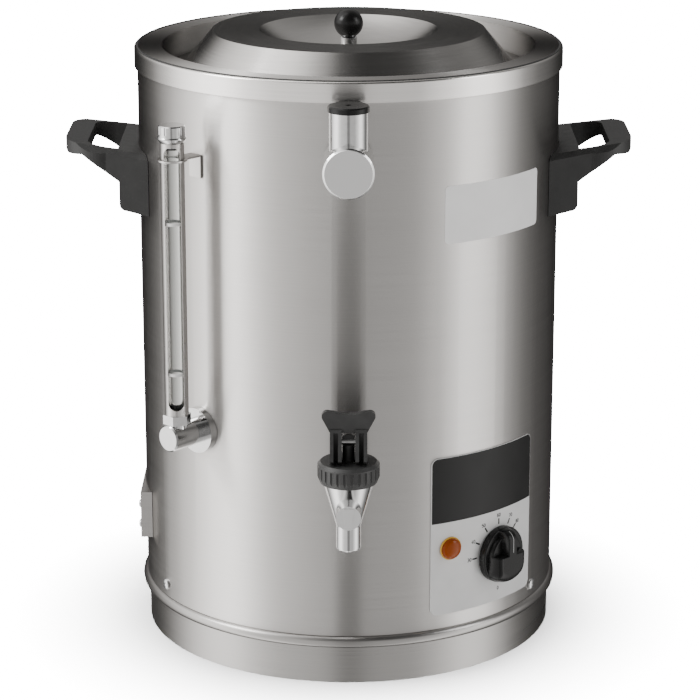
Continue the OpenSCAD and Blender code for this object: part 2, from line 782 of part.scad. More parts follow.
module filler_stub() {
    edge = 1.2;
    foot_r = seat_r + filler_seal_t + fit_gap;
    color("lightgray") difference() {
        union() {
            difference() {
                outward(0, filler_z, shell_ri) rotate_extrude() polygon([
                    [0, 0], [filler_stub_d / 2, 0], [filler_stub_d / 2, filler_reach - shell_ri - edge],
                    [filler_stub_d / 2 - edge, filler_reach - shell_ri], [0, filler_reach - shell_ri]]);
                vessel_core(foot_r);
            }
            wall_hole(0, filler_z, filler_spigot_d, filler_nut_r - filler_nut_t - 1, filler_tube_r);
        }
        wall_hole(0, filler_z, filler_bore_d, pot_ro, filler_tube_r);
        translate([0, -filler_tube_r, filler_z]) cylinder(d = filler_bore_d, h = filler_stub_d);
        translate([0, -filler_tube_r, filler_seat_z])
            cylinder(d = filler_tube_d + 2 * fit_gap, h = filler_stub_d);
    }
}
module filler_seal() {
    color("dimgray") difference() {
        intersection() {
            wall_hole(0, filler_z, filler_stub_d - 1, tank_ro, filler_reach);
            vessel_core(seat_r + filler_seal_t);
        }
        vessel_core(seat_r);
        wall_hole(0, filler_z, filler_spigot_d + 2 * fit_gap, pot_ro, filler_reach);
    }
}
module filler_nut() {
    color("goldenrod") outward(0, filler_z, filler_nut_r - filler_nut_t)
        hex_nut(filler_nut_w, filler_spigot_d + 2 * fit_gap, filler_nut_t);
}
module filler_tube() {
    color("lightgray") translate([0, -filler_tube_r, filler_seat_z])
        ring(filler_tube_d / 2, filler_tube_d / 2 - filler_tube_wall, filler_top_z - filler_seat_z);
}
module filler_cap() {
    edge = 0.8;
    plug_r = filler_tube_d / 2 - filler_tube_wall - run_gap;
    plug_wall = 1.6;
    color("black") translate([0, -filler_tube_r, filler_cap_z]) difference() {
        union() {
            rotate_extrude() polygon([[0, 0], [filler_cap_d / 2, 0], [filler_cap_d / 2, filler_cap_t - edge],
                [filler_cap_d / 2 - edge, filler_cap_t], [0, filler_cap_t]]);
            translate([0, 0, -filler_plug_h]) ring(plug_r, plug_r - plug_wall, filler_plug_h + 0.5);
        }
        translate([0, 0, filler_cap_t - 1]) cylinder(d = filler_cap_dimple_d, h = 2);
    }
}

// Sight gauge of the water bath

module gauge_flange() {
    color("lightgray") difference() {
        wall_hole(gauge_phi, gauge_z, gauge_flange_d, shell_ri, gauge_flange_r);
        vessel_core(seat_r);
        wall_hole(gauge_phi, gauge_z, gauge_spigot_d + 2 * fit_gap, tank_ro, rim_r + 10);
    }
}
module at_gauge(z) {
    at_phi(gauge_phi) translate([0, -gauge_r, z]) children();
}
module gauge_elbow() {
    edge = 1;
    len = gauge_end_r - gauge_flange_r;
    color("lightgray") difference() {
        union() {
            outward(gauge_phi, gauge_z, gauge_flange_r) rotate_extrude() polygon([[0, 0],
                [gauge_elbow_d / 2, 0], [gauge_elbow_d / 2, len - edge],
                [gauge_elbow_d / 2 - edge, len], [0, len]]);
            wall_hole(gauge_phi, gauge_z, gauge_spigot_d, gauge_lock_r - gauge_lock_t - 2, gauge_r);
            at_gauge(gauge_z) cylinder(d = gauge_boss_d, h = gauge_sleeve_z - gauge_z - run_gap);
        }
        wall_hole(gauge_phi, gauge_z, gauge_bore_d, pot_ro, gauge_r);
        at_gauge(gauge_z) cylinder(d = gauge_bore_d, h = gauge_elbow_d);
        at_gauge(gauge_seal_z) cylinder(d = gauge_glass_d + 2 * fit_gap, h = gauge_elbow_d);
    }
}
module gauge_lock_nut() {
    color("goldenrod") outward(gauge_phi, gauge_z, gauge_lock_r - gauge_lock_t)
        hex_nut(gauge_lock_w, gauge_spigot_d + 2 * fit_gap, gauge_lock_t);
}
module gauge_nut() {
    color("lightgray") at_gauge(gauge_nut_z) hex_nut(gauge_nut_w, gauge_boss_d + 2 * fit_gap, gauge_nut_h);
}
// Sleeve with a round-ended window towards the front and the same at its back
module gauge_sleeve() {
    low_z = gauge_slot_low_z + gauge_slot_w / 2;
    high_z = gauge_slot_high_z - gauge_slot_w / 2;
    color("silver") difference() {
        at_gauge(gauge_sleeve_z)
            ring(gauge_sleeve_d / 2, gauge_sleeve_bore / 2, gauge_top_z - gauge_sleeve_z);
        at_gauge(0) rotate([0, 0, -gauge_phi]) {
            for (z = [low_z, high_z]) translate([0, gauge_sleeve_d, z]) rotate([90, 0, 0])
                cylinder(d = gauge_slot_w, h = 2 * gauge_sleeve_d);
            translate([-gauge_slot_w / 2, -gauge_sleeve_d, low_z])
                cube([gauge_slot_w, 2 * gauge_sleeve_d, high_z - low_z]);
        }
    }
}
module gauge_glass() {
    color("lightcyan", 0.5) at_gauge(gauge_glass_z)
        ring(gauge_glass_d / 2, gauge_glass_bore / 2, gauge_glass_top_z - gauge_glass_z);
}
module gauge_level_rings() {
    color("white") for (z = [gauge_ring_low_z, gauge_ring_high_z]) at_gauge(z - gauge_ring_h / 2)
        ring(gauge_sleeve_bore / 2 - fit_gap, gauge_glass_d / 2 + fit_gap / 2, gauge_ring_h);
}
module gauge_seals() {
    color("dimgray") for (z = [gauge_seal_z, gauge_glass_top_z]) at_gauge(z)
        ring(gauge_glass_d / 2, gauge_glass_bore / 2, gauge_seal_h);
}
module gauge_top_cap() {
    r = gauge_cap_d / 2;
    edge = 0.8;
    waist_z = gauge_cap_h * 0.5;
    plug_r = gauge_sleeve_bore / 2 - fit_gap;
    color("lightgray") at_gauge(gauge_top_z) difference() {
        rotate_extrude() polygon(concat([[0, -gauge_plug_h], [plug_r, -gauge_plug_h], [plug_r, 0],
            [gauge_sleeve_d / 2 - 0.2, 0], [r - edge, 1.6]],
            arc([r - waist_z / 3, 3], waist_z / 3, 0, 45, 4),
            [[r - edge, waist_z], [r - edge, gauge_cap_h - edge], [r - 2 * edge, gauge_cap_h],
             [0, gauge_cap_h]]));
        for (i = [0:gauge_notches - 1]) rotate([0, 0, i * 360 / gauge_notches])
            translate([r, 0, waist_z]) cylinder(d = 2.4, h = gauge_cap_h);
    }
}
// Clip round the sleeve whose tab is fixed to the shell
module gauge_bracket() {
    tab_r = seat_r + gauge_clip_t;
    color("silver") difference() {
        union() {
            at_gauge(gauge_clip_z) cylinder(d = gauge_clip_d, h = gauge_clip_t);
            at_phi(gauge_phi) translate([-gauge_clip_w / 2, -gauge_r, gauge_clip_z])
                cube([gauge_clip_w, gauge_r - seat_r, gauge_clip_t]);
            at_phi(gauge_phi)
                translate([-gauge_clip_w / 2, -tab_r, gauge_clip_z + gauge_clip_t - gauge_clip_tab_h])
                cube([gauge_clip_w, gauge_clip_t, gauge_clip_tab_h]);
        }
        at_gauge(gauge_clip_z - 1) cylinder(d = gauge_sleeve_d + 2 * fit_gap, h = gauge_clip_t + 2);
    }
}

// Tap

module tap_shank() {
    color("lightgray") outward(0, tap_shank_z, tap_shank_end_r)
        ring(tap_shank_d / 2, tap_shank_bore / 2, tap_boss_back_r + tap_shank_bite - tap_shank_end_r);
}
module tap_lock_nut() {
    color("lightgray") outward(0, tap_shank_z, tap_lock_r - tap_lock_t)
        hex_nut(tap_lock_w, tap_shank_d + 2 * fit_gap, tap_lock_t);
}
// Sleeve round the shank between pot and tank
module tap_wall_sleeve() {
    color("dimgray") difference() {
        intersection() {
            wall_hole(0, tap_shank_z, tap_sleeve_d, tap_shank_end_r, shell_r);
            vessel_core(tank_r - fit_gap);
        }
        vessel_core(pot_ro + fit_gap);
        wall_hole(0, tap_shank_z, tap_shank_d + 2 * fit_gap, tap_shank_end_r, shell_r);
    }
}
module tap_flange() {
    color("lightgray") difference() {
        wall_hole(0, tap_shank_z, tap_flange_d, shell_ri, tap_flange_r);
        vessel_core(seat_r);
        wall_hole(0, tap_shank_z, tap_shank_d + 2 * fit_gap, tank_ro, tap_r);
    }
}
module tap_back_nut() {
    color("lightgray") outward(0, tap_shank_z, tap_flange_r)
        hex_nut(tap_back_nut_w, tap_shank_d + 2 * fit_gap, tap_back_nut_t);
}
module at_tap() {
    translate([0, -tap_r, 0]) children();
}
// Tapered body with spout, inlet boss, front boss and valve chamber
module tap_body() {
    edge = 2;
    spout_r = spout_d / 2;
    seat_wall_r = cup_r + run_gap;
    color("lightgray") difference() {
        union() {
            at_tap() rotate_extrude() polygon(concat([[0, spout_z]],
                arc([spout_r - edge, spout_z + edge], edge, -90, 0, 4),
                [[spout_r, tap_cone_low_z], [tap_body_d / 2, tap_cone_high_z],
                 [tap_neck_d / 2, tap_cone_high_z], [tap_neck_d / 2, tap_neck_z], [0, tap_neck_z]]));
            wall_hole(0, tap_shank_z, tap_boss_d, tap_boss_back_r, tap_r - tap_boss_root);
            wall_hole(0, tap_front_boss_z, tap_front_boss_d, tap_r + tap_boss_root, tap_front_boss_r);
            translate([-tap_seam_w / 2, -tap_r - spout_r - tap_seam_t, spout_z + edge])
                cube([tap_seam_w, spout_r, tap_front_boss_z - spout_z - edge]);
            outward(0, tap_front_boss_z, tap_front_boss_r - tap_rib_t) linear_extrude(2 * tap_rib_t)
                polygon([[-tap_rib_w / 3, 1 - tap_front_boss_d / 2],
                         [tap_rib_w / 3, 1 - tap_front_boss_d / 2],
                         [tap_rib_w / 2, tap_front_boss_d / 2 - 1.5],
                         [-tap_rib_w / 2, tap_front_boss_d / 2 - 1.5]]);
        }
        at_tap() rotate_extrude() polygon([[0, spout_z - 1], [spout_bore / 2, spout_z - 1],
            [spout_bore / 2, tap_seat_z], [seat_wall_r, tap_seat_z], [seat_wall_r, tap_seat_z + 6],
            [tap_chamber_r, tap_chamber_z], [tap_chamber_r, tap_neck_z + 1], [0, tap_neck_z + 1]]);
        wall_hole(0, tap_shank_z, tap_shank_bore, tap_boss_back_r, tap_r - tap_boss_root);
        wall_hole(0, tap_shank_z, tap_shank_d + 2 * fit_gap, tap_boss_back_r - 1,
                  tap_boss_back_r + tap_shank_bite);
    }
}
module tap_collar() {
    low_edge = 1.7;
    top_edge = 2;
    hole_r = tap_stem_d / 2 + run_gap;
    body_r = tap_body_d / 2 + fit_gap;
    neck_bore_r = tap_neck_d / 2 + fit_gap;
    color([0.2, 0.2, 0.2]) at_tap() difference() {
        rotate_extrude() polygon([[body_r, collar_z], [collar_r - low_edge, collar_z],
            [collar_r, collar_z + 2.5 * low_edge], [collar_r, collar_top_z - top_edge],
            [collar_r - top_edge, collar_top_z], [hole_r, collar_top_z], [hole_r, collar_roof_z],
            [neck_bore_r, collar_roof_z], [neck_bore_r, tap_cone_high_z + fit_gap],
            [body_r, tap_cone_high_z + fit_gap]]);
        for (i = [0:collar_ribs - 1]) rotate([0, 0, (i + 0.5) * 360 / collar_ribs])
            translate([collar_r + collar_flute_r / 4, 0, collar_z - 1])
                cylinder(r = collar_flute_r, h = collar_h - top_edge);
    }
}
module tap_stem() {
    top_z = lever_pin_z + stem_top;
    low_z = cup_z + 3;
    cup_top_z = cup_z + cup_h;
    r = tap_stem_d / 2;
    color([0.15, 0.15, 0.15]) difference() {
        at_tap() rotate_extrude() polygon(concat([[0, low_z], [stem_nipple_d / 2, low_z],
            [stem_nipple_d / 2, cup_top_z], [r, cup_top_z], [r, stem_flange_z],
            [stem_flange_d / 2, stem_flange_z],
            [stem_flange_d / 2, stem_flange_z + stem_flange_t], [r, stem_flange_z + stem_flange_t]],
            [for (a = [0:15:90]) [r * cos(a), top_z - r / 2 + r / 2 * sin(a)]]));
        translate([-r - 1, -tap_r, lever_pin_z]) rotate([0, 90, 0])
            cylinder(d = lever_pin_d + 2 * pin_play, h = 2 * r + 2);
        translate([-r - 1, -tap_r - r - 1, lever_pin_z - lever_pin_d / 2])
            cube([2 * r + 2, r + 1 - lever_pin_d / 4, lever_pin_d + stem_top]);
    }
}
module seat_cup() {
    socket_r = stem_nipple_d / 2 + fit_gap;
    color("whitesmoke") at_tap() translate([0, 0, cup_z]) rotate_extrude() polygon([[0, 0], [cup_r - 0.5, 0],
        [cup_r, 0.5], [cup_r, cup_h / 2], [tap_stem_d / 2 + 0.6, cup_h], [socket_r, cup_h],
        [socket_r, 3 - fit_gap], [0, 3 - fit_gap]]);
}

// Return spring, one unbroken round wire
spring_steps = spring_turns * spring_rings;
spring_rise = spring_high_z - spring_low_z - spring_wire;
function spring_turn(i) = i * 360 / spring_rings;
function spring_centre(i) =
    [spring_mean_r * cos(spring_turn(i)), spring_mean_r * sin(spring_turn(i)),
     spring_low_z + spring_wire / 2 + spring_rise * i / spring_steps];
function spring_point(i, j) =
    let (a = j * 360 / spring_sides, out = [cos(spring_turn(i)), sin(spring_turn(i)), 0])
    spring_centre(i) + spring_wire / 2 * (cos(a) * out + [0, 0, sin(a)]);
spring_least_gap = min([for (i = [0:spring_steps - 4], j = [i + 4:spring_steps])
    norm(spring_centre(i) - spring_centre(j))]) - spring_wire;
echo(spring_least_gap = spring_least_gap);
module tap_spring() {
    points = [for (i = [0:spring_steps], j = [0:spring_sides - 1]) spring_point(i, j)];
    function at(i, j) = i * spring_sides + j % spring_sides;
    sides = [for (i = [0:spring_steps - 1], j = [0:spring_sides - 1], half = [0, 1])
        half == 0 ? [at(i, j), at(i, j + 1), at(i + 1, j + 1)] : [at(i, j), at(i + 1, j + 1), at(i + 1, j)]];
    low_cap = [for (j = [1:spring_sides - 2]) [at(0, 0), at(0, j + 1), at(0, j)]];
    high_cap = [for (j = [1:spring_sides - 2])
        [at(spring_steps, 0), at(spring_steps, j), at(spring_steps, j + 1)]];
    color("silver") at_tap() polyhedron(points, concat(sides, low_cap, high_cap));
}

// Wing lever with two cheeks on the pin. The curve of its heel is the involute of a circle, so the stem
// rises evenly as the lever tips

module lever_wing_outline(h) {
    horn_x = lever_w / 2 - lever_horn_r;
    horn_y = h - lever_horn_r;
    dip_r = 30;
    dip = 2.2;
    polygon(concat([[-lever_cheek_out, 0], [lever_cheek_out, 0]],
                   arc([horn_x, horn_y], lever_horn_r, -25, 95, 6),
                   arc([0, h + dip_r - dip], dip_r, -72, -108, 6),
                   arc([-horn_x, horn_y], lever_horn_r, 85, 205, 6)));
}
function heel_point(h, a) =
    let (reach = h + heel_lift * a * PI / 180)
    [-reach * sin(a) - heel_lift * cos(a), heel_lift * sin(a) - reach * cos(a)];
module tap_lever() {
    foot = lever_foot_z - lever_pin_z;
    bridge = lever_bridge_z - lever_pin_z;
    wing_h = (lever_top_z - lever_bridge_z) / cos(lever_lean);
    cheek_w = lever_cheek_out - lever_cheek_in;
    slot_w = cheek_w - 2 * lever_rib_w;
    slot_x = (lever_cheek_in + lever_cheek_out) / 2;
    color([0.2, 0.2, 0.2]) at_tap() translate([0, 0, lever_pin_z]) difference() {
        union() {
            for (x = [-lever_cheek_out, lever_cheek_in]) translate([x, 0, 0]) rotate([90, 0, 90])
                linear_extrude(cheek_w) polygon(concat([[-lever_wing_t / 2 - 1, bridge + 2], [-lever_heel, 0]],
                    [for (a = [lever_tip:-lever_tip / 8:0]) heel_point(-foot, a)],
                    [[lever_back, foot], [lever_back, 2], [lever_back - 2, bridge + 2]]));
            translate([0, lever_wing_t / 2, bridge]) rotate([lever_lean, 0, 0]) rotate([90, 0, 0])
                linear_extrude(lever_wing_t) lever_wing_outline(wing_h);
        }
        translate([-lever_w, 0, 0]) rotate([0, 90, 0])
            cylinder(d = lever_pin_d + 2 * pin_play, h = 2 * lever_w);
        for (side = [-1, 1]) translate([side * slot_x - slot_w / 2, lever_slot_depth - lever_heel, foot - 1])
            mirror([0, 1, 0]) cube([slot_w, 2 * lever_heel, bridge - foot + 1]);
    }
}
module lever_pin() {
    color("silver") translate([-lever_cheek_out, -tap_r, lever_pin_z]) rotate([0, 90, 0])
        cylinder(d = lever_pin_d, h = 2 * lever_cheek_out);
}

// Controls

module panel_outline() {
    w = shell_r * sin(panel_w / 2 / shell_r * 180 / PI) - panel_corner_r;
    low = panel_z + panel_corner_r;
    high = panel_z + panel_h - panel_corner_r;
    polygon(concat(arc([w, low], panel_corner_r, -90, 0), arc([w, high], panel_corner_r, 0, 90),
                   arc([-w, high], panel_corner_r, 90, 180), arc([-w, low], panel_corner_r, 180, 270)));
}
module control_panel() {
    color("gainsboro") difference() {
        intersection() {
            vessel_core(panel_r);
            outward(panel_phi, 0, shell_r / 2) linear_extrude(shell_r) panel_outline();
        }
        vessel_core(seat_r);
        wall_hole(dial_phi, dial_z, bush_hole_d, tank_ro, rim_r);
        wall_hole(lamp_phi, lamp_z, lamp_hole_d, tank_ro, rim_r);
    }
}
// Dial with a round skirt and a raised grip that narrows to its pointer
module thermostat_knob() {
    edge = 1.5;
    r = dial_d / 2;
    grip_r = r - 1;
    shaft_end = dial_shaft_bite + thermostat_nut_t;
    color([0.08, 0.08, 0.08]) outward(dial_phi, dial_z, dial_r) difference() {
        union() {
            rotate_extrude() polygon(concat([[0, 0], [r, 0]],
                arc([r - edge, dial_skirt_t - edge], edge, 0, 90, 4),
                [[dial_hub_d / 2, dial_skirt_t + 0.4], [dial_hub_d / 2 - 1.5, dial_hub_t],
                 [0, dial_hub_t]]));
            intersection() {
                rotate_extrude() polygon(concat([[0, 0], [grip_r, 0], [grip_r, dial_skirt_t]],
                    arc([grip_r - 6, dial_depth - 6], 6, 0, 90, 6), [[0, dial_depth]]));
                linear_extrude(dial_depth) polygon([[-dial_bar_low_w / 2, -r], [dial_bar_low_w / 2, -r],
                    [dial_bar_low_w / 2 - 2, dial_block_top - 1], [dial_bar_top_w / 2, dial_block_top + 1],
                    [dial_bar_top_w / 2, r], [-dial_bar_top_w / 2, r],
                    [-dial_bar_top_w / 2, dial_block_top + 1], [2 - dial_bar_low_w / 2, dial_block_top - 1]]);
            }
        }
        translate([0, 0, -1])
            cylinder(d = thermostat_nut_w * 2 / sqrt(3) + 4 * run_gap, h = thermostat_nut_t + 2);
        cylinder(d = dial_shaft_d + fit_gap, h = shaft_end + run_gap);
    }
}
module thermostat_shaft() {
    low_r = thermostat_front_r - thermostat_depth / 2;
    color("silver") outward(dial_phi, dial_z, low_r)
        cylinder(d = dial_shaft_d, h = dial_r + thermostat_nut_t + dial_shaft_bite - low_r);
}
module thermostat_nut() {
    color("silver") outward(dial_phi, dial_z, thermostat_nut_r)
        hex_nut(thermostat_nut_w, bush_hole_d, thermostat_nut_t);
}
module thermostat_body() {
    shaft_low_r = thermostat_front_r - thermostat_depth / 2 - run_gap;
    color("tan") difference() {
        union() {
            outward(dial_phi, dial_z, thermostat_front_r - thermostat_depth)
                translate([-thermostat_w / 2, -thermostat_w / 2, 0])
                    cube([thermostat_w, thermostat_w, thermostat_depth]);
            wall_hole(dial_phi, dial_z, bush_d, thermostat_front_r - 1, thermostat_nut_r + thermostat_nut_t);
        }
        wall_hole(dial_phi, dial_z, dial_shaft_d + 2 * pin_play, shaft_low_r, panel_r + dial_depth);
    }
}
// Round rod between two points, with a ball at the far end
module rod(p, q, d, ball_d) {
    v = q - p;
    translate(p) rotate([0, acos(v.z / norm(v)), atan2(v.y, v.x)]) cylinder(d = d, h = norm(v));
    translate(q) sphere(d = ball_d);
}
module thermostat_bulb() {
    z = tank_floor_z - fit_gap - bulb_d / 2;
    body_r = thermostat_front_r - thermostat_depth;
    route = [[bulb_len / 2, 30 - body_r, z], [bulb_len / 2 + 6, 10 - body_r, z], [10, -body_r - 8, z],
             [10, -body_r - 8, dial_z + thermostat_w / 2 + capillary_joint_d / 2 + fit_gap / 4]];
    color("peru") at_phi(dial_phi) {
        translate([-bulb_len / 2, 30 - body_r, z]) rotate([0, 90, 0]) cylinder(d = bulb_d, h = bulb_len);
        for (i = [0:len(route) - 2]) rod(route[i], route[i + 1], capillary_d, capillary_joint_d);
    }
}
module lamp_lens() {
    r = lamp_d / 2;
    foot_r = panel_r + fit_gap;
    color("darkorange") outward(lamp_phi, lamp_z, foot_r) rotate_extrude() polygon(concat(
        [[0, lamp_body_r - foot_r], [lamp_shank_d / 2, lamp_body_r - foot_r], [lamp_shank_d / 2, 0], [r, 0]],
        [for (a = [0:15:90]) [r * cos(a), lamp_flange_t + lamp_dome_h * sin(a)]]));
}
module lamp_body() {
    blade = [0.8, 4, 8];
    color("whitesmoke") outward(lamp_phi, lamp_z, lamp_body_r - lamp_body_len) {
        cylinder(d = lamp_body_d, h = lamp_body_len);
        for (x = [-3, 3]) translate([x - blade.x / 2, -blade.y / 2, -blade.z]) cube(blade + [0, 0, 1]);
    }
}
module terminal_block() {
    pitch = terminal_size.x / terminals;
    color("ivory") translate([-terminal_size.x / 2, -terminal_size.y / 2, 2 * sheet]) difference() {
        cube(terminal_size);
        for (i = [0:terminals - 1])
            translate([pitch * (i + 0.5), -1, terminal_size.z / 2]) rotate([-90, 0, 0])
            cylinder(d = terminal_way_d, h = terminal_size.y + 2);
    }
}

// Flat side cover on the left, and the cable gland at the back

module cover_block(in) {
    half = cover_half_w - in;
    translate([in - cover_x, -half, cover_z + in]) cube([shell_r / 2, 2 * half, cover_h - 2 * in]);
}
// Local Z points away from the cover's flat face at each of its screws
module at_cover_screws() {
    y = cover_half_w - cover_screw_in;
    for (side = [-y, y], z = [cover_z + cover_screw_in, cover_z + cover_h - 1.4 * cover_screw_in])
        translate([-cover_x, side, z]) rotate([0, -90, 0]) children();
}
module side_cover() {
    color("silver") difference() {
        cover_block(0);
        cover_block(cover_wall);
        vessel_core(seat_r);
        at_cover_screws() cylinder(d = cover_screw_d + 2 * fit_gap, h = 2 * cover_screw_len, center = true);
    }
}
module side_cover_screws() {
    color("silver") at_cover_screws()
        pan_screw(cover_screw_d, cover_screw_head_d, cover_screw_head_h, cover_screw_len);
}
module cable_gland() {
    r = gland_d / 2;
    color("black") outward(gland_phi, gland_z, seat_r) rotate_extrude() polygon([
        [gland_bore / 2, -gland_tail_len], [r, -gland_tail_len], [r, 0], [r + gland_flange_w, 0],
        [r + gland_flange_w, gland_flange_t], [r, gland_flange_t], [r - 1.5, gland_len],
        [gland_bore / 2, gland_len]]);
}

base_pan();
bottom_plate();
base_screws();
outer_shell();
rim_ring();
pot_gasket();
milk_pot();
water_tank();
heating_element();
element_nuts();
lid();
lid_knob_stem();
lid_knob_ball();
lid_knob_screw();
handle_left();
handle_right();
handle_bolts();
filler_stub();
filler_seal();
filler_nut();
filler_tube();
filler_cap();
gauge_flange();
gauge_elbow();
gauge_lock_nut();
gauge_nut();
gauge_sleeve();
gauge_glass();
gauge_level_rings();
gauge_seals();
gauge_top_cap();
gauge_bracket();
tap_shank();
tap_lock_nut();
tap_wall_sleeve();
tap_flange();
tap_back_nut();
tap_body();
tap_collar();
tap_stem();
tap_spring();
seat_cup();
tap_lever();
lever_pin();
control_panel();
thermostat_knob();
thermostat_shaft();
thermostat_nut();
thermostat_body();
thermostat_bulb();
lamp_lens();
lamp_body();
terminal_block();
side_cover();
side_cover_screws();
cable_gland();
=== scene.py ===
import json
import math

import bpy
from mathutils import Matrix, Vector


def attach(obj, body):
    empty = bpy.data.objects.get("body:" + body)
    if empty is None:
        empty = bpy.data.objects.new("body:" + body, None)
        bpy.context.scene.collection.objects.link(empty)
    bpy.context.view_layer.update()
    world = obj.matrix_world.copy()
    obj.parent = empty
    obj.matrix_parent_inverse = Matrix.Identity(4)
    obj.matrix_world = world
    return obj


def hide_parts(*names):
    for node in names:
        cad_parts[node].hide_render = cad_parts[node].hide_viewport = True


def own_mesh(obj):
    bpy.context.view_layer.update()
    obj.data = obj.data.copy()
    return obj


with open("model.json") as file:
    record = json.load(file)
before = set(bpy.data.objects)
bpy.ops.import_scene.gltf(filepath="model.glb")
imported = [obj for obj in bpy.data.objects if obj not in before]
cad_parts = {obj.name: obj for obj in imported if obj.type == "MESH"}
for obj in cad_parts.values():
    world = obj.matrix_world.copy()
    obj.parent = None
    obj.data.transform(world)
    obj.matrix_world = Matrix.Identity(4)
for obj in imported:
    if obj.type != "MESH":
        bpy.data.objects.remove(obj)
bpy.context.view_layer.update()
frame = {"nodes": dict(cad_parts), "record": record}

MM = 0.001
# Edges that turn by more than this, in degrees, stay sharp
SHARP_ANGLE = 35

# Places and sizes repeated from the part's source, in millimetres and degrees
SHELL_R = 150.0
RIM_Z = 427.0
PANEL_R = 151.0
PANEL_PHI = 40.5
PANEL_TOP_Z = 161.5
PANEL_HALF_ANGLE = 18.05
FIELD_Z = 114.0
DIAL_PHI = 44.5
DIAL_Z = 81.5
DIAL_BACK_R = 151.5
DIAL_DEPTH = 14.0
LAMP_PHI = 28.0
LAMP_Z = 94.6
LAMP_R = 7.5
PLATE_PHI = 42.9
PLATE_HALF_ANGLE = 17.3
PLATE_Z = (313.0, 353.0)


# Frames on the round wall

def wall_point(phi, z, r):
    """Point in metres at direction phi from the front, height z and radius r."""
    a = math.radians(phi)
    return Vector((r * math.sin(a), -r * math.cos(a), z)) * MM


def wall_frame(phi, z, r):
    """Matrix with X to the right along the wall, Y up and Z outward, still in millimetres."""
    a = math.radians(phi)
    right = Vector((math.cos(a), math.sin(a), 0))
    up = Vector((0, 0, 1))
    out = Vector((math.sin(a), -math.cos(a), 0))
    m = Matrix((right, up, out)).transposed().to_4x4()
    m.translation = wall_point(phi, z, r)
    return m @ Matrix.Scale(MM, 4)


# Mesh making

def piece(name, verts, faces, mat, body, slot, smooth=True):
    """New mesh object that rides on a body of the part; its slot argument is not used."""
    mesh = bpy.data.meshes.new(name)
    mesh.from_pydata([tuple(v) for v in verts], [], faces)
    mesh.validate()
    mesh.update()
    obj = bpy.data.objects.new(name, mesh)
    bpy.context.scene.collection.objects.link(obj)
    mesh.materials.append(mat)
    if smooth:
        mesh.shade_smooth()
        mesh.set_sharp_from_angle(angle=math.radians(SHARP_ANGLE))
    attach(obj, body)
    return obj


def wall_sheet(name, phi, half_angle, z0, z1, r0, thick, corners, mat, slot, columns=48):
    """Thin sheet bent round the wall, with a corner radius for its lower and its upper corners."""
    low_c, high_c = corners
    half_w = math.radians(half_angle) * r0

    def cut(u, c):
        inner = half_w - c
        d = abs(u) - inner
        return c - math.sqrt(max(c * c - d * d, 0.0)) if c and d > 0 else 0.0

    us = [-half_w * math.cos(math.pi * i / columns) for i in range(columns + 1)]
    verts = []
    for u in us:
        p = phi + math.degrees(u / r0)
        lo, hi = z0 + cut(u, low_c), z1 - cut(u, high_c)
        for r in (r0, r0 + thick):
            verts += [wall_point(p, lo, r), wall_point(p, hi, r)]
    faces = []
    for i in range(columns):
        a, b = 4 * i, 4 * i + 4
        faces += [(a + 2, b + 2, b + 3, a + 3), (a, a + 1, b + 1, b),
                  (a, b, b + 2, a + 2), (a + 1, a + 3, b + 3, b + 1)]
    end = 4 * columns
    faces += [(0, 2, 3, 1), (end, end + 1, end + 3, end + 2)]
    return piece(name, verts, faces, mat, "urn", slot)


def ribbon(place, line, width, thick):
    """Vertices and faces of a flat stroke along (x, y) points; place(x, y, lift) gives each vertex."""
    verts, faces = [], []
    n = len(line)
    for i, (x, y) in enumerate(line):
        ax, ay = line[max(i - 1, 0)]
        bx, by = line[min(i + 1, n - 1)]
        length = math.hypot(bx - ax, by - ay) or 1.0
        nx, ny = -(by - ay) / length * width / 2, (bx - ax) / length * width / 2
        for lift in (0.0, thick):
            verts += [place(x + nx, y + ny, lift), place(x - nx, y - ny, lift)]
    for i in range(n - 1):
        a, b = 4 * i, 4 * i + 4
        faces += [(a + 2, a + 3, b + 3, b + 2), (a, b, b + 1, a + 1),
                  (a, a + 2, b + 2, b), (a + 1, b + 1, b + 3, a + 3)]
    end = 4 * (n - 1)
    faces += [(0, 1, 3, 2), (end, end + 2, end + 3, end + 1)]
    return verts, faces


def joined(parts):
    """Vertices and faces of several meshes as one."""
    verts, faces = [], []
    for v, f in parts:
        base = len(verts)
        verts += v
        faces += [tuple(i + base for i in face) for face in f]
    return verts, faces


def turned(matrix, profile, segments=64):
    """Closed ring turned about the local Z axis from (radius, height) points."""
    n = len(profile)
    verts, faces = [], []
    for s in range(segments):
        a = 2 * math.pi * s / segments
        verts += [matrix @ Vector((r * math.cos(a), r * math.sin(a), h)) for r, h in profile]
        t = (s + 1) % segments
        for i in range(n):
            j = (i + 1) % n
            faces.append((s * n + i, t * n + i, t * n + j, s * n + j))
    return verts, faces


# Materials

STEEL_WARMTH = 0.025
BRUSH_SCALE = (5.0, 5.0, 1300.0)
NOISE_LOW, NOISE_HIGH = 0.3, 0.7
EVENLY = (1, 1, 1)


def new_node(tree, kind, **props):
    """New node in a tree, with properties of its own set."""
    node = tree.nodes.new(kind)
    for key, value in props.items():
        setattr(node, key, value)
    return node


